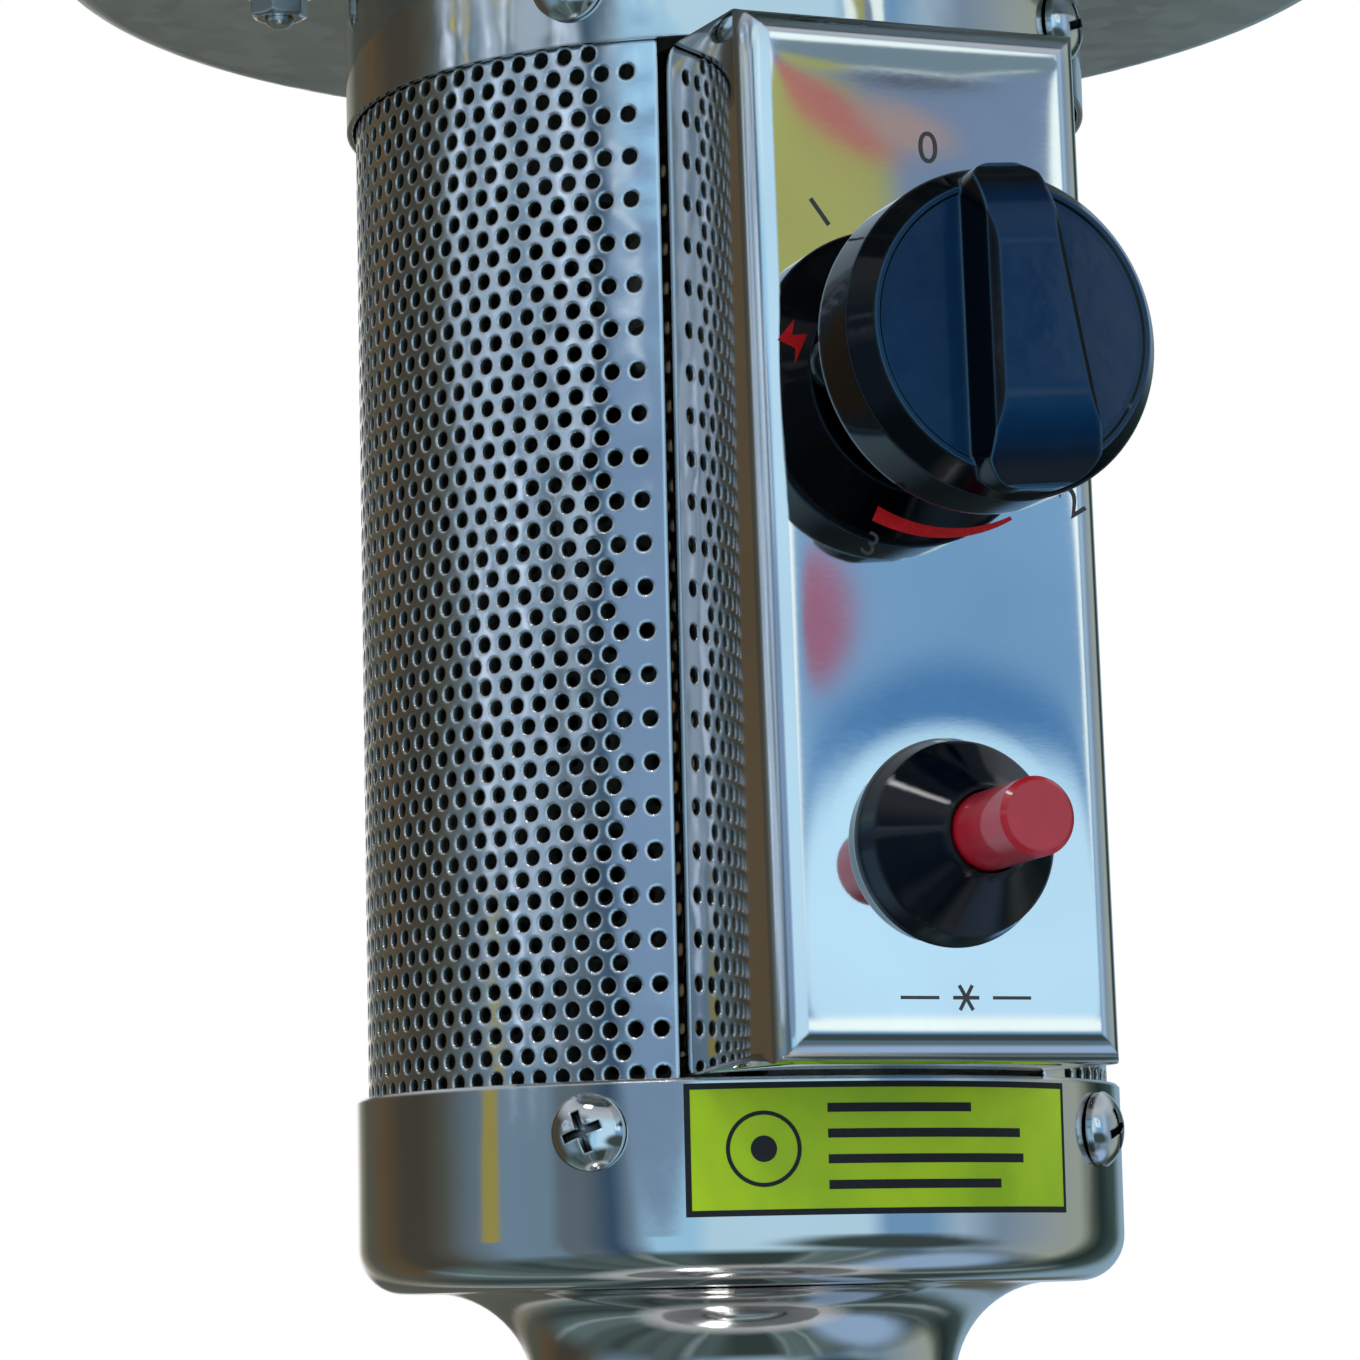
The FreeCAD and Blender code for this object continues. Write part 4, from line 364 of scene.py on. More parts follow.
def dull_black():
    """Unlit depth behind the holes."""
    finish = Finish("dull_black", (0.004, 0.004, 0.004), 0.9)
    finish.colour_by(finish.noise(0.004, detail=3), (0.003, 0.003, 0.003), (0.008, 0.007, 0.006))
    finish.set("Specular IOR Level", 0.1)
    return finish.material


def sleeve_inside():
    """Dull inner side of the perforated sheet, and the walls of its holes, darkened as painted shade."""
    finish = Finish("sleeve_inside", (0.09, 0.10, 0.09), 0.55, metallic=0.5)
    film = finish.noise(0.01, detail=4)
    # Painted shade: the dark tone keeps the holes' walls and the sheet's inside dark
    finish.colour_by(film, (0.05, 0.055, 0.05), (0.13, 0.14, 0.12))
    finish.roughness_by(film, 0.45, 0.7)
    return finish.material


def red_plastic():
    """Red button, slightly waxy under a glossy skin."""
    finish = Finish("red_plastic", (0.32, 0.006, 0.012), 0.25)
    finish.set("Specular IOR Level", 0.3)
    finish.set("Coat Weight", 0.6)
    finish.set("Coat Roughness", 0.04)
    rub = finish.noise(0.006, detail=4)
    finish.colour_by(rub, (0.37, 0.004, 0.014), (0.42, 0.008, 0.025))
    finish.roughness_by(rub, 0.3, 0.4)
    finish.bumps_from(rub, 0.00001, round_edges=0.0005)
    return finish.material


def rubber():
    """Matt foot rubber with a fine grit."""
    finish = Finish("foot_rubber", (0.03, 0.03, 0.032), 0.75)
    grit = finish.noise(0.0008, detail=4)
    finish.colour_by(grit, (0.02, 0.02, 0.022), (0.05, 0.05, 0.052))
    finish.roughness_by(grit, 0.65, 0.9)
    finish.bumps_from(grit, 0.00008, round_edges=0.0006)
    return finish.material


def cast_iron():
    """Painted casting with a sandy skin."""
    finish = Finish("cast_iron", (0.05, 0.05, 0.052), 0.6, metallic=0.2)
    sand = finish.noise(0.0015, detail=5)
    finish.colour_by(sand, (0.035, 0.035, 0.037), (0.085, 0.08, 0.075))
    finish.roughness_by(sand, 0.5, 0.8)
    finish.bumps_from(sand, 0.0003)
    return finish.material


def warm_metal(name, colour, tarnish):
    """Brass or copper with patches of tarnish and turning marks."""
    finish = Finish(name, colour, 0.25, metallic=1.0)
    patches = finish.noise(0.008, detail=5, distortion=0.5)
    finish.colour_by(patches, colour, tarnish, 0.4, 0.7)
    finish.roughness_by(patches, 0.2, 0.4)
    finish.bumps_from(finish.noise(0.0008, detail=2), 0.00002, round_edges=0.0003)
    return finish.material


def heat_tinted_steel():
    """Emitter steel that the flame has coloured: blue and brown below, straw above, bright on top."""
    finish = Finish("heat_tinted_steel", (0.5, 0.46, 0.42), 0.3, metallic=1.0)
    height = finish.ranged(finish.axis("Z"), 0, 1, SCREEN_LOW.z, SCREEN_HIGH.z)
    cloud = finish.times(finish.noise(0.05, detail=4, distortion=0.5), 0.5)
    brown, blue = (0.30, 0.26, 0.27), (0.30, 0.31, 0.38)
    straw, bright = (0.52, 0.43, 0.30), (0.56, 0.53, 0.49)
    heat = finish.added(finish.times(height, 0.75), cloud)
    finish.colour_from(finish.ramp(heat, [(0.1, brown), (0.35, blue), (0.65, straw), (1.0, bright)]))
    finish.roughness_by(finish.noise(0.01, detail=4), 0.25, 0.4)
    finish.bumps_from(finish.noise(0.03, detail=2), 0.0003)
    return finish.material


def ceramic():
    """Glazed insulator with faint specks."""
    finish = Finish("ceramic", (0.82, 0.80, 0.74), 0.25)
    speck = finish.noise(0.002, detail=5)
    finish.colour_by(speck, (0.84, 0.82, 0.77), (0.72, 0.68, 0.6), 0.5, 0.8)
    finish.bumps_from(speck, 0.00003)
    return finish.material


def silicone_lead():
    """Red silicone sheath with a little grime."""
    finish = Finish("silicone_lead", (0.45, 0.04, 0.03), 0.5)
    grime = finish.noise(0.01, detail=4)
    finish.colour_by(grime, (0.40, 0.03, 0.025), (0.52, 0.06, 0.045))
    finish.roughness_by(grime, 0.4, 0.6)
    finish.bumps_from(finish.noise(0.001, detail=2), 0.00003)
    return finish.material


def label_film():
    """Lime printed film with a soft sheen and fine creases."""
    finish = Finish("label_film", (0.27, 0.48, 0.004), 0.3)
    finish.set("IOR", 1.35)
    print_grain = finish.noise(0.02, detail=5, distortion=0.4)
    finish.colour_by(print_grain, (0.25, 0.45, 0.002), (0.40, 0.64, 0.006))
    finish.roughness_by(print_grain, 0.25, 0.4)
    finish.bumps_from(finish.noise(0.006, detail=3), 0.00004)
    return finish.material


def ink(name, colour):
    """Screen-printed ink with slightly uneven cover."""
    finish = Finish(name, colour, 0.5)
    finish.set("Specular IOR Level", 0.25)
    cover = finish.noise(0.0006, detail=4)
    finish.colour_by(cover, colour, tuple(channel * 1.6 + 0.004 for channel in colour), 0.5, 0.9)
    finish.bumps_from(cover, 0.000008)
    return finish.material


def floor_finish(plain_radius, radius):
    """Pale table top that fades out between the two radii."""
    finish = Finish("floor", (0.80, 0.80, 0.79), 0.7)
    finish.colour_by(finish.noise(0.05, detail=4), (0.79, 0.79, 0.78), (0.82, 0.82, 0.81))
    reach = finish.vector("LENGTH", finish.coordinates)
    finish.link(finish.ranged(reach, 1, 0, plain_radius, radius), finish.shader.inputs["Alpha"])
    return finish.material


# Mesh helpers

def in_scene(name, data):
    """A new object in the scene."""
    thing = bpy.data.objects.new(name, data)
    bpy.context.scene.collection.objects.link(thing)
    return thing


def mesh_object(name, points, faces, material, smooth=False, inner=None, inner_faces=(), rides=True):
    """A mesh, on the heater's body where rides is true. The faces numbered in inner_faces get the
    inner material."""
    mesh = bpy.data.meshes.new(name)
    mesh.from_pydata([tuple(point) for point in points], [], faces)
    mesh.materials.append(material)
    if inner:
        mesh.materials.append(inner)
        for number in inner_faces:
            mesh.polygons[number].material_index = 1
    mesh.validate()
    for polygon in mesh.polygons:
        polygon.use_smooth = smooth
    thing = in_scene(name, mesh)
    if rides:
        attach(thing, BODY)
    return thing


def band(outer, inner):
    """The faces between two closed rings of as many point numbers."""
    return list(zip(outer, outer[1:] + outer[:1], inner[1:] + inner[:1], inner))


def strip_faces(steps):
    """The faces of a strip whose points come in pairs."""
    return [(2 * step, 2 * step + 1, 2 * step + 3, 2 * step + 2) for step in range(steps)]


class SharedPoints:
    """Points, of which those with a key are shared by neighbouring faces."""

    def __init__(self):
        self.points = []
        self.index = {}

    def add(self, point):
        self.points.append(point)
        return len(self.points) - 1

    def at(self, key, make):
        if key not in self.index:
            self.index[key] = self.add(make())
        return self.index[key]


# A hole's sides, and as many places round its cell, in quarters of a column and half rows
HOLE_SIDES = 12
CELL_OUTLINE = [(2, 0), (2, -1), (1, -1), (0, -1), (-1, -1), (-2, -1), (-2, 0), (-2, 1), (-1, 1), (0, 1),
                (1, 1), (2, 1)]


def perforated_wall(name, material, radius, thickness, start, columns, pitch, rows, row_height, top, hole,
                    margins, skew=0.0, inset=0, inner=None, shade=None, shaded=(0, 0)):
    """An upright curved sheet with round holes in staggered rows.

    Angles are in degrees and lengths in metres. Column 0 lies at start and the others follow at
    pitch; every second row is shifted by half a pitch and, where the sheet has ends, leaves out
    inset columns at each. top is the height of the first row, margins holds the plain sheet's
    ends: first angle, last angle, lower and upper height, with no angles for a closed ring. skew
    is the shift in degrees from one row to the next. A hole's edge is rounded by the punch. inner
    is the material of the sheet's inner side and of the holes' walls. The holes between the two
    angles of shaded are closed halfway through the sheet with faces of the material shade.
    """
    first_angle, last_angle, low, high = margins
    store, shade_store = SharedPoints(), SharedPoints()
    faces, inner_faces, shade_faces = [], [], []
    last = (columns - 1) * 4
    closed = first_angle is None
    end_strip = math.degrees(0.35 * MM / radius)
    hole_layers = ((hole * 1.34, 0.0), (hole * 1.18, 0.0), (hole, thickness * 0.16), (hole * 0.97, thickness))
    hole_wall = len(hole_layers) - 1

    def angle_at(quarter, half_row):
        """Angle of a lattice line. The sheet's ends stay upright, with a narrow strip beside each
        that keeps the smooth shading level up to the edge."""
        if not closed and quarter <= -3:
            return first_angle + (end_strip if quarter == -3 else 0)
        if not closed and quarter >= last + 3:
            return last_angle - (end_strip if quarter == last + 3 else 0)
        return start + quarter * pitch / 4 + skew * half_row / 2

    def height_at(half_row):
        if half_row <= -2:
            return high
        if half_row >= rows * 2:
            return low
        return top - half_row * row_height / 2

    def lattice(quarter, half_row, layer):
        """A point between the holes, on the outer (0) or the inner (1) side."""
        key = (quarter % (columns * 4) if closed else quarter, half_row, layer)
        reach = radius - layer * thickness
        return store.at(key, lambda: on_wall(reach, angle_at(quarter, half_row), height_at(half_row)))

    def hole_ring(holder, quarter, half_row, reach, depth):
        """The points of a ring of reach round a hole's middle, depth into the sheet."""
        ring = []
        for step in range(HOLE_SIDES):
            turn = math.tau * step / HOLE_SIDES
            angle = angle_at(quarter, half_row) + math.degrees(reach * math.cos(turn) / radius)
            height = height_at(half_row) + reach * math.sin(turn)
            ring.append(holder.add(on_wall(radius - depth, angle, height)))
        return ring

    def add_faces(added, inside=False):
        if inside:
            inner_faces.extend(range(len(faces), len(faces) + len(added)))
        faces.extend(added)

    def holed_cell(quarter, half_row):
        def outline(layer):
            return [lattice(quarter + across, half_row + down, layer) for across, down in CELL_OUTLINE]

        rings = [outline(0)]
        rings += [hole_ring(store, quarter, half_row, reach, depth) for reach, depth in hole_layers]
        rings.append(outline(1))
        for number, (outer, following) in enumerate(zip(rings, rings[1:])):
            add_faces(band(outer, following), inside=number >= hole_wall)
        if shaded[0] < angle_at(quarter, half_row) < shaded[1]:
            rim = hole_ring(shade_store, quarter, half_row, hole * 0.99, thickness / 2)
            shade_faces.append(tuple(rim))

    def plain_cell(left, upper):
        corners = [(left, upper + 1), (left + 1, upper + 1), (left + 1, upper), (left, upper)]
        add_faces([tuple(lattice(*corner, 0) for corner in corners)])
        add_faces([tuple(reversed([lattice(*corner, 1) for corner in corners]))], inside=True)

    def edge_face(place, following, flip):
        """A face through the sheet's thickness, between two places on its edge."""
        face = [lattice(*place, 0), lattice(*following, 0), lattice(*following, 1), lattice(*place, 1)]
        add_faces([tuple(reversed(face) if flip else face)])

    for row in range(rows):
        middle = row * 2
        shifted = row % 2
        first = shifted * (2 if closed else inset * 4 + 2)
        final = last + first if closed else last - first
        for quarter in range(first, final + 1, 4):
            holed_cell(quarter, middle)
        if not closed:
            for upper in (middle - 1, middle):
                for left in (*range(-4, first - 2), *range(final + 2, last + 4)):
                    plain_cell(left, upper)
    all_lefts = range(columns * 4) if closed else range(-4, last + 4)
    for left in all_lefts:
        plain_cell(left, -2)
        plain_cell(left, rows * 2 - 1)
        for half_row, flip in ((-2, False), (rows * 2, True)):
            edge_face((left, half_row), (left + 1, half_row), flip)
    if not closed:
        for quarter, flip in ((-4, True), (last + 4, False)):
            for upper in range(-2, rows * 2):
                edge_face((quarter, upper), (quarter, upper + 1), flip)
    if shade_faces:
        mesh_object(name + "_shade", shade_store.points, shade_faces, shade)
    return mesh_object(name, store.points, faces, material, smooth=True, inner=inner, inner_faces=inner_faces)


def flat_print(name, outline, material, place_point):
    """A thin print from a closed outline of (x, y) in millimetres."""
    points = [place_point(x, y) for x, y in outline]
    mesh_object(name, points, [tuple(range(len(points)))], material)


def ring_print(name, inner, outer, start, end, steps, material, place_point, taper=0.0):
    """An arc of print. taper thins it towards its end."""
    points = []
    for step in range(steps + 1):
        share = step / steps
        angle = math.radians(start + (end - start) * share)
        thin = (outer - inner) / 2 * taper * share
        for reach in (inner + thin, outer - thin):
            points.append(place_point(reach * math.cos(angle), reach * math.sin(angle)))
    mesh_object(name, points, strip_faces(steps), material)


def digit_print(name, text, height, side, rise, turn, material):
    """A plain numeral printed on the panel, turned by degrees."""
    # A digit's height as a share of the font's size
    digit_share = 0.7
    curve = bpy.data.curves.new(name, "FONT")
    curve.body = text
    curve.size = height * MM / digit_share
    curve.align_x = "CENTER"
    curve.align_y = "CENTER"
    curve.extrude = 0.01 * MM
    curve.materials.append(material)
    thing = in_scene(name, curve)
    axes = Matrix((PANEL_RIGHT, PANEL_UP, PANEL_NORMAL)).transposed().to_4x4()
    turned = axes @ Matrix.Rotation(math.radians(turn), 4, "Z")
    thing.matrix_world = Matrix.Translation(on_panel(side, rise, PRINT_LIFT)) @ turned
    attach(thing, BODY)


# Pieces

def make_sleeve(material, inner):
    """The perforated sleeve, bent round to the control box at both ends. Its rows run on behind
    the cup's rim and the collar. No daylight shows through it in the photograph, so the holes on
    the side that faces away from the camera are closed in black."""
    edge_angle = 30.6
    first_hole = 35.4
    columns = 75
    row_height = 2.725 * MM
    highest_seen_row = 126 * MM
    rows_behind_collar = 2
    sleeve = perforated_wall(
        "sleeve_sheet", material, radius=SLEEVE_HIGH.y, thickness=0.8 * MM,
        start=first_hole, columns=columns, pitch=(360 - 2 * first_hole) / (columns - 1), rows=51,
        row_height=row_height, top=RIM + highest_seen_row + row_height * rows_behind_collar, hole=1 * MM,
        margins=(edge_angle, 360 - edge_angle, SLEEVE_LOW.z, SLEEVE_HIGH.z), skew=0.05, inset=1,
        inner=inner, shade=dull_black(), shaded=(66, 250),
    )
    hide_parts("perforated_sleeve")


def make_screen(material):
    """The emitter's perforated wall with its foot flange."""
    flange_reach = 4.2 * MM
    sheet = 0.8 * MM
    radius = SCREEN_HIGH.x - flange_reach
    inside = radius - sheet
    columns = 34
    wall = perforated_wall(
        "emitter_wall", material, radius, sheet, start=0, columns=columns, pitch=360 / columns, rows=24,
        row_height=7.2 * MM, top=SCREEN_HIGH.z - 8 * MM, hole=2.9 * MM,
        margins=(None, None, SCREEN_LOW.z + sheet / 2, SCREEN_HIGH.z),
    )
    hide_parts("emitter_screen")
    steps = 96
    outline = ((inside, 0), (SCREEN_HIGH.x, 0), (SCREEN_HIGH.x, sheet), (radius, sheet), (inside, sheet))
    points, rings = [], []
    for reach, height in outline:
        rings.append(list(range(len(points), len(points) + steps)))
        points += [on_wall(reach, 360 * step / steps, SCREEN_LOW.z + height) for step in range(steps)]
    faces = []
    for ring, following in zip(rings, rings[1:] + rings[:1]):
        faces += band(ring, following)
    foot = mesh_object("emitter_foot", points, faces, material)


def make_coil(node_name, joint_name, wire, turns, material):
    """A coil spring in place of its plain tube, wound with an even pitch along the joint's axis. wire
    is the wire's diameter."""
    joints = frame["record"]["behaviour"]["joints"]
    joint = next(joint for joint in joints if joint["name"] == joint_name)
    inward = Vector(joint["axis"]).normalized()
    low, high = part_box(node_name)
    centre = (low + high) / 2
    offsets = [vertex.co - centre for vertex in frame["nodes"][node_name].data.vertices]
    start = min(offset.dot(inward) for offset in offsets)
    end = max(offset.dot(inward) for offset in offsets)
    reach = max((offset - inward * offset.dot(inward)).length for offset in offsets) - wire / 2
    across = PANEL_RIGHT
    up = inward.cross(across)
    turn_steps, wire_steps = 24, 8
    steps = turns * turn_steps
    points, faces = [], []
    for step in range(steps + 1):
        angle = math.tau * step / turn_steps
        outward = across * math.cos(angle) + up * math.sin(angle)
        depth = start + wire / 2 + (end - start - wire) * step / steps
        for side in range(wire_steps):
            turn = math.tau * side / wire_steps
            ring = outward * math.cos(turn) + inward * math.sin(turn)
            points.append(centre + inward * depth + outward * reach + ring * wire / 2)
    for step in range(steps):
        for side in range(wire_steps):
            after = (side + 1) % wire_steps
            first, following = step * wire_steps, (step + 1) * wire_steps
            faces.append((first + side, following + side, following + after, first + after))
    faces.append(tuple(range(wire_steps)))
    faces.append(tuple(reversed(range(steps * wire_steps, (steps + 1) * wire_steps))))
    coil = mesh_object(node_name + "_coil", points, faces, material, smooth=True)
    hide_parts(node_name)
    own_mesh(coil)


def make_panel_prints():
    """Plain numerals, the red power arc, a red spark and a mark under the igniter."""
    dark = ink("dark_ink", (0.05, 0.055, 0.06))
    red = ink("red_ink", (0.45, 0.006, 0.01))
    numerals = (("zero", 4.0, 1.2, 111.5, 0), ("one", 4.0, -13.4, 102.5, 36), ("two", 4.0, 18.5, 68.3, 30),
                ("three", 3.0, -8.7, 61.9, -30))
    for number, (word, height, side, rise, turn) in enumerate(numerals):
        digit_print("mark_" + word, str(number), height, side, rise, turn, dark)

    def panel_from(side, rise, lift=PRINT_LIFT):
        """Places points given from a place on the panel."""
        return lambda x, y: on_panel(side + x, rise + y, lift)

    dial_top = 90
    ring_print("power_arc", 19.2, 21.2, dial_top + 154, dial_top + 207, 40, red,
               panel_from(KNOB_SIDE, KNOB_RISE), taper=0.75)
    spark = [(-2.0, 0.2), (0.3, 2.9), (-0.1, 0.9), (1.9, 1.1), (0.1, -2.7), (0.3, -0.7)]
    flat_print("spark_mark", spark, red, panel_from(-17.7, 86.3))

    def bar(half_long, half_wide, turn=0.0):
        """A bar's outline, turned by degrees."""
        cosine, sine = math.cos(math.radians(turn)), math.sin(math.radians(turn))
        low_edge = [(-half_long, -half_wide), (half_long, -half_wide)]
        corners = low_edge + [(half_long, half_wide), (-half_long, half_wide)]
        return [(x * cosine - y * sine, x * sine + y * cosine) for x, y in corners]

    mark_side, mark_rise = 1.4, 7.7
    ink_layer = 0.004
    for number in range(3):
        place = panel_from(mark_side, mark_rise, PRINT_LIFT + ink_layer * number)
        flat_print(f"igniter_star_{number}", bar(1.7, 0.22, turn=60 * number), dark, place)
    for word, offset in (("left", -6), ("right", 6)):
        flat_print("igniter_bar_" + word, bar(2.5, 0.2), dark, panel_from(mark_side + offset, mark_rise))


def make_label_print():
    """Black border, ring, dot and plain bars on the label."""
    black = ink("label_ink", (0.008, 0.008, 0.01))
    low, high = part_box("cup_label")
    radius = CUP_RADIUS + 0.2 * MM
    start, sweep = -29.8, 61.6
    width = math.radians(sweep) * radius / MM
    height = (high.z - low.z) / MM

    def on_label(x, y):
        """x from the label's left end and y from its lower edge, in millimetres."""
        return on_wall(radius, start + math.degrees(x * MM / radius), low.z + y * MM)

    def strip(name, x0, x1, y0, y1):
        """A rectangle of print, in steps of about a millimetre round the cup."""
        steps = max(1, round(x1 - x0))
        points = []
        for step in range(steps + 1):
            x = x0 + (x1 - x0) * step / steps
            points += [on_label(x, y1), on_label(x, y0)]
        mesh_object(name, points, strip_faces(steps), black)

    border = 0.75
    strip("label_border_low", 0, width, 0, border)
    strip("label_border_high", 0, width, height - border, height)
    strip("label_border_left", 0, border, border, height - border)
    strip("label_border_right", width - border * 0.7, width, border, height - border)

    ring_x = 9.6

    def from_ring_middle(x, y):
        return on_label(ring_x + x, height / 2 + y)

    ring_print("label_ring", 4.1, 4.6, 0, 360, 64, black, from_ring_middle)
    ring_print("label_dot", 0.0, 1.6, 0, 360, 32, black, from_ring_middle)
    bars_start, half_bar = 17.5, 0.55
    first_drop, bar_pitch = 3.2, 3.1
    for number, length in enumerate((19.5, 27.5, 28.0, 24.0)):
        level = height - first_drop - number * bar_pitch
        strip(f"label_bar_{number}", bars_start, bars_start + length, level - half_bar, level + half_bar)


def dress_nodes():
    """Gives every node of the frame its finish, and returns those of the sleeve, the emitter and
    the springs."""
    sleeve_steel = steel("sleeve_steel", colour=(0.62, 0.635, 0.65), roughness=(0.05, 0.12), waves=0.022,
                         wave_size=0.009)
    brushed = steel("brushed_steel", roughness=(0.16, 0.26), waves=0.004, grain=(1, 1, 0.04))
    screw_steel = steel("screw_steel", colour=(0.66, 0.66, 0.66), roughness=(0.05, 0.12), waves=0.004,
                        wave_size=0.004, recess_shade_reach=0.0016)
    base_steel = steel("base_steel", roughness=(0.12, 0.2), waves=0.006, wave_size=0.02)
    brass = warm_metal("brass", (0.72, 0.53, 0.26), (0.45, 0.32, 0.18))
    copper = warm_metal("copper", (0.80, 0.46, 0.32), (0.42, 0.26, 0.2))
    tinted = heat_tinted_steel()
    finishes = {
        steel("polished_steel", waves=0.006, wave_size=0.02): ["control_cup", "post"],
        base_steel: ["base_shell", "post_foot_cover"],
        steel("collar_steel", waves=0.012, wave_size=0.006): ["upper_collar"],
        pressed_panel_steel(): ["control_box"],
        sleeve_steel: ["perforated_sleeve"],
        brushed: ["reflector_stays", "stem_spring", "igniter_spring"],
        screw_steel: ["cup_screws", "collar_screws", "tray_nuts", "tray_washers", "reflector_nuts",
                      "reflector_washers", "middle_bolt", "igniter_nut", "stem_spring_seat"],
        spun_metal("spun_aluminium", (0.68, 0.68, 0.68), (0.16, 0.28)): ["reflector"],
        galvanised(): ["burner_tray", "lower_ring", "upper_ring", "post_foot_plate", "mixing_tube",
                       "burner_head", "pilot_burner"],
        knob_plastic(): ["control_knob"],
        gloss_black(): ["igniter_bezel", "igniter_body", "tilt_switch", "valve_screws"],
        red_plastic(): ["igniter_button"],
        brass: ["gas_inlet", "gas_inlet_nut", "valve_body", "valve_stem", "gas_jet"],
        copper: ["supply_pipe", "burner_pipe", "pilot_tube", "sensor_lead", "flame_sensor"],
        tinted: ["emitter_screen", "emitter_cap"],
        rubber(): ["rubber_feet"],
        cast_iron(): ["base_weight"],
        ceramic(): ["spark_electrode"],
        silicone_lead(): ["spark_lead"],
        label_film(): ["cup_label"],
    }
    for material, names in finishes.items():
        for name in names:
            for slot in frame["nodes"][name].material_slots:
                slot.material = material
    return sleeve_steel, tinted, brushed


# Surroundings

class WorldTree(Nodes):
    """Short ways to paint the studio's surroundings by direction."""

    def __init__(self):
        world = bpy.data.worlds.new("studio")
        bpy.context.scene.world = world
        world.use_nodes = True
        super().__init__(world.node_tree)
        self.tree.nodes.clear()
        self.direction = self.node("ShaderNodeTexCoord").outputs["Generated"]
        parts = self.node("ShaderNodeSeparateXYZ")
        self.link(self.direction, parts.inputs[0])
        front = self.times(parts.outputs["Y"], -1.0)
        self.azimuth = self.math("DEGREES", self.math("ARCTAN2", parts.outputs["X"], front))
        self.elevation = self.math("DEGREES", self.math("ARCSINE", parts.outputs["Z"]))
        self.colour = None

    def lay(self, cover, colour):
        """Lays a colour over what is there, as far as cover reaches from 0 to 1."""
        self.colour = self.mixed(cover, self.colour, colour)

    def by_azimuth(self, stops):
        """Soft upright bands: pairs of azimuth in degrees and colour."""
        place = self.math("DIVIDE", self.added(self.azimuth, 180.0), 360.0)
        return self.ramp(place, [((azimuth + 180) / 360, colour) for azimuth, colour in stops])

    def rising(self, source, start, end):
        """0 up to start, 1 from end."""
        return self.ranged(source, 0, 1, start, end)

    def mottle(self, size, start, end):
        """Noise over the directions, with details about size degrees across."""
        noise = self.node("ShaderNodeTexNoise", noise_dimensions="3D")
        noise.inputs["Scale"].default_value = 1 / math.radians(size)
        noise.inputs["Detail"].default_value = 3
        self.link(self.direction, noise.inputs["Vector"])
        return self.rising(noise.outputs[0], start, end)

    def stripes(self, size, start, end):
        """Noise in upright stripes about size degrees wide."""
        noise = self.node("ShaderNodeTexNoise", noise_dimensions="1D")
        noise.inputs["Scale"].default_value = 1 / size
        noise.inputs["Detail"].default_value = 1
        self.link(self.azimuth, noise.inputs["W"])
        return self.rising(noise.outputs[0], start, end)

    def patch(self, azimuth, elevation, wide, high, turn, colour, soft=0.5, pattern=None):
        """A soft-edged oval patch of the surroundings, whole or only where pattern is high. Angles
        are in degrees, wide and high are half its size, and turn leans it. soft is the share of its
        size over which its edge fades on either side."""
        across = self.math("SUBTRACT", self.azimuth, azimuth)
        up = self.math("SUBTRACT", self.elevation, elevation)
        cosine, sine = math.cos(math.radians(turn)), math.sin(math.radians(turn))
        along = self.added(self.times(across, cosine / wide), self.times(up, sine / wide))
        over = self.added(self.times(across, -sine / high), self.times(up, cosine / high))
        distance = self.math("SQRT", self.added(self.times(along, along), self.times(over, over)))
        cover = self.ranged(distance, 1, 0, 1 - soft, 1 + soft, interpolation_type="SMOOTHSTEP")
        if pattern is not None:
            cover = self.times(cover, pattern)
        self.lay(cover, colour)


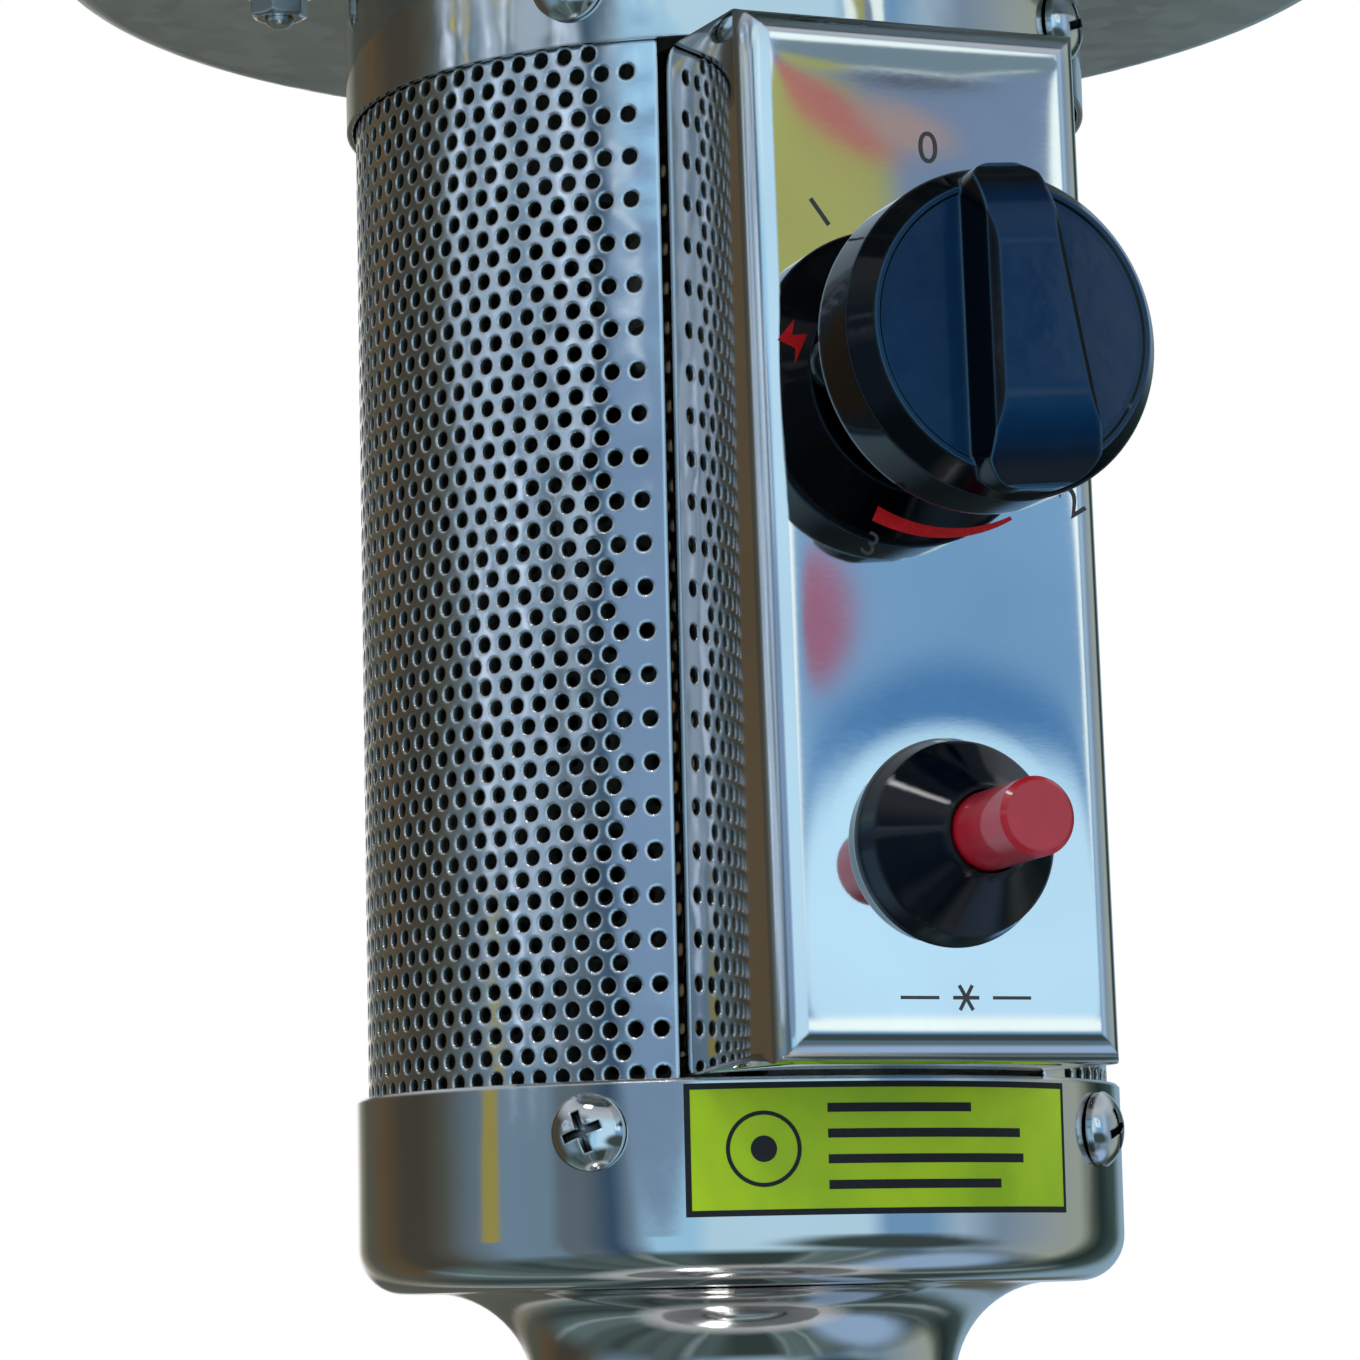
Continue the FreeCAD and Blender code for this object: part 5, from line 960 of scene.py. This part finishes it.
def make_world():
    """White to the camera, an even pale light for matt surfaces, and for the polish the room whose
    bands the photograph's steel shows, with the white background behind the heater."""
    world = WorldTree()
    brown = (0.14, 0.10, 0.055)
    moss = (0.11, 0.12, 0.10)
    dusk = (0.08, 0.075, 0.06)
    slate = (0.16, 0.22, 0.27)
    blue_grey = (0.23, 0.36, 0.50)
    sky_blue = (0.50, 0.90, 1.25)
    front_cyan = (0.70, 1.05, 1.30)
    panel_blue = (0.25, 0.50, 0.82)
    pine = (0.06, 0.10, 0.10)
    hazy_blue = (0.28, 0.41, 0.56)
    white = (1.0, 1.0, 1.0)
    world.colour = world.by_azimuth([
        (-180, (0.30, 0.28, 0.22)), (-172, moss), (-155, brown), (-142, dusk), (-131, dusk), (-121, moss),
        (-111, slate), (-96, blue_grey), (-80, (0.22, 0.35, 0.47)), (-76, slate), (-70, slate),
        (-60, (0.05, 0.11, 0.19)), (-54, blue_grey), (-48, sky_blue), (-36, sky_blue), (-30, front_cyan),
        (15, front_cyan), (21, panel_blue), (35, panel_blue), (46, (0.50, 0.72, 0.92)), (60, hazy_blue),
        (84, (0.42, 0.50, 0.52)), (99, (0.45, 0.52, 0.45)), (107, (0.10, 0.13, 0.11)),
        (114, (0.02, 0.04, 0.04)), (128, pine), (137, (0.28, 0.42, 0.52)), (153, hazy_blue), (156, white),
        (170, white), (180, (0.30, 0.28, 0.22)),
    ])
    world.patch(-101, 0, 3.5, 4.5, 0, (0.46, 0.40, 0.10), soft=0.25)
    world.patch(-46, 7.6, 13, 6.8, 0, (0.27, 0.42, 0.64), soft=0.12)
    world.patch(-50.5, 13.2, 5.8, 0.4, -14, (1.2, 1.4, 1.5), soft=0.3)
    world.patch(-88.5, 14, 26.5, 10.5, 0, (0.52, 0.67, 0.84), soft=0.12, pattern=world.mottle(7, 0.46, 0.54))
    world.patch(-88.5, 14, 26.5, 10.5, 0, (1.0, 1.2, 1.5), soft=0.12, pattern=world.mottle(4, 0.55, 0.60))
    world.patch(-98, 17, 16, 4, 0, (0.85, 0.70, 0.08), soft=0.2, pattern=world.mottle(3, 0.60, 0.62))
    world.patch(-41, 20.6, 18, 4.6, 0, (0.9, 1.2, 1.3), soft=0.15, pattern=world.mottle(4, 0.44, 0.5))
    world.patch(168, 21, 20, 7, 0, moss, soft=0.3)
    world.patch(163, -19, 16, 15, 0, moss, soft=0.2)
    world.lay(world.rising(world.elevation, 18, 36), (0.62, 0.68, 0.75))
    world.lay(world.rising(world.elevation, 42, 78), (0.22, 0.25, 0.28))
    paint_ground(world)
    paint_panel_view(world)
    rays = world.node("ShaderNodeLightPath").outputs
    from_below, from_above = (0.60, 0.61, 0.63), (1.03, 1.05, 1.08)
    even_light = world.mixed(world.rising(world.elevation, -20, 35), from_below, from_above)
    world.lay(rays["Is Diffuse Ray"], even_light)
    world.lay(world.math("MAXIMUM", rays["Is Camera Ray"], rays["Is Transmission Ray"]), white)
    background = world.node("ShaderNodeBackground")
    world.link(world.colour, background.inputs["Color"])
    output = world.node("ShaderNodeOutputWorld")
    world.link(background.outputs[0], output.inputs["Surface"])


def paint_panel_view(world):
    """The few degrees of the room that the flat panel mirrors into the camera."""
    yellow = (0.50, 0.54, 0.18)
    ice = (1.3, 1.5, 1.5)
    world.patch(20.8, 14.5, 1.9, 11, 0, ice, soft=0.1)
    world.patch(29.6, 12.5, 2.0, 9, 0, ice, soft=0.1)
    world.patch(25.2, 7.4, 2.6, 3.5, 0, (0.10, 0.30, 0.64), soft=0.08)
    world.patch(25.2, 7.2, 2.9, 2.75, 0, (0.72, 1.12, 1.40), soft=0.12)
    world.patch(25.2, 4.6, 6.0, 1.0, 0, ice, soft=0.5)
    world.patch(23.6, 11.5, 0.5, 0.8, 0, (0.46, 0.18, 0.30), soft=0.35)
    world.patch(25.2, 17.6, 2.6, 3.2, 0, (0.24, 0.36, 0.56), soft=0.12)
    world.patch(25.9, 19.6, 3.0, 1.4, 0, (0.24, 0.36, 0.44), soft=0.1)
    world.patch(25.3, 17.9, 0.8, 0.16, -5, (0.14, 0.18, 0.24), soft=0.6)
    world.patch(25.2, 18.2, 0.9, 0.07, -9, (0.70, 0.85, 0.82), soft=0.6)
    world.patch(26.5, 18.4, 0.7, 0.07, 24, (0.70, 0.85, 0.82), soft=0.6)
    world.patch(23.2, 16.4, 1.75, 2.0, 0, yellow, soft=0.12)
    world.patch(23.8, 18.6, 0.8, 0.22, -30, yellow, soft=0.3)
    world.patch(23.9, 17.8, 1.3, 0.26, -38, (0.62, 0.22, 0.21), soft=0.3)
    world.patch(25.1, 17.3, 0.6, 0.22, -25, (0.52, 0.40, 0.38), soft=0.5)
    world.patch(28.3, 15.2, 1.3, 3.2, 0, ice, soft=0.15)
    world.patch(25.0, 21.8, 4, 1.3, 0, ice, soft=0.3)


def paint_ground(world):
    """Dark ground with upright stripes, a blue stretch low on the right, and a dark one in front of
    the panel's lower bend."""
    ground = world.math("SUBTRACT", 1.0, world.rising(world.elevation, -42, -29))
    world.lay(ground, (0.05, 0.075, 0.075))
    world.lay(world.times(ground, world.stripes(40, 0.4, 0.62)), (0.15, 0.22, 0.23))
    world.lay(world.times(ground, world.stripes(16, 0.6, 0.72)), (0.34, 0.44, 0.48))
    world.patch(68, -56, 30, 19, 0, (0.42, 0.62, 0.92), soft=0.4)
    world.patch(25, -20, 34, 13, 0, (0.06, 0.09, 0.09), soft=0.35)


def direction_to(azimuth, elevation):
    """The direction away from the heater at degrees from the front and up."""
    angle, rise = math.radians(azimuth), math.radians(elevation)
    return Vector((math.sin(angle) * math.cos(rise), -math.cos(angle) * math.cos(rise), math.sin(rise)))


def make_lamp(name, azimuth, elevation, size, watts, mirrored=True):
    """A square soft box that looks at the control housing. The polish shows it where mirrored is
    true."""
    distance = 1.6
    housing_middle = Vector((0, 0, RIM + 60 * MM))
    away = direction_to(azimuth, elevation)
    data = bpy.data.lights.new(name, "AREA")
    data.size = size
    data.energy = watts
    lamp = in_scene(name, data)
    lamp.location = housing_middle + away * distance
    lamp.rotation_euler = (-away).to_track_quat("-Z", "Y").to_euler()
    lamp.visible_glossy = mirrored


def make_floor():
    """A pale round table top under the heater, fading out at its edge."""
    steps, radius, plain_radius = 96, 0.22, 0.12
    points = [Vector((0, 0, 0))] + [on_wall(radius, 360 * step / steps, 0) for step in range(steps)]
    faces = [(0, 1 + step, 1 + (step + 1) % steps) for step in range(steps)]
    floor = mesh_object("floor", points, faces, floor_finish(plain_radius, radius), rides=False)


def make_camera():
    """The photograph's camera, fitted together with the sizes."""
    data = bpy.data.cameras.new("photo_camera")
    data.sensor_width = 36
    data.lens = FOCAL_PIXELS / PHOTO_SIZE * data.sensor_width
    data.shift_x = (PHOTO_SIZE / 2 - CENTRE_X_PIXELS) / PHOTO_SIZE
    data.shift_y = (CENTRE_Y_PIXELS - PHOTO_SIZE / 2) / PHOTO_SIZE
    data.clip_start = 0.01
    data.clip_end = 50
    camera = in_scene("photo_camera", data)
    azimuth, elevation = math.radians(LOOK_AZIMUTH), math.radians(LOOK_ELEVATION)
    level = Vector((math.sin(azimuth), math.cos(azimuth), 0))
    forward = level * math.cos(elevation) + Vector((0, 0, math.sin(elevation)))
    right = Vector((math.cos(azimuth), -math.sin(azimuth), 0))
    up = right.cross(forward)
    roll = math.radians(CAMERA_ROLL)
    rolled_right = right * math.cos(roll) + up * math.sin(roll)
    rolled_up = up * math.cos(roll) - right * math.sin(roll)
    axes = Matrix((rolled_right, rolled_up, -forward)).transposed().to_4x4()
    place = on_wall(CAMERA_DISTANCE, -CAMERA_AZIMUTH, RIM - CAMERA_DROP)
    camera.matrix_world = Matrix.Translation(place) @ axes
    bpy.context.scene.camera = camera


make_camera()
make_world()
make_floor()
make_lamp("key_light", -60, 58, 0.4, 8)
make_lamp("top_light", 30, 75, 1.0, 6, mirrored=False)
sleeve_finish, screen_finish, spring_finish = dress_nodes()
make_sleeve(sleeve_finish, sleeve_inside())
make_screen(screen_finish)
make_coil("stem_spring", "knob_push", 0.9 * MM, 4, spring_finish)
make_coil("igniter_spring", "igniter_push", 0.8 * MM, 6, spring_finish)
make_panel_prints()
make_label_print()

bpy.context.scene.view_settings.view_transform = "Standard"
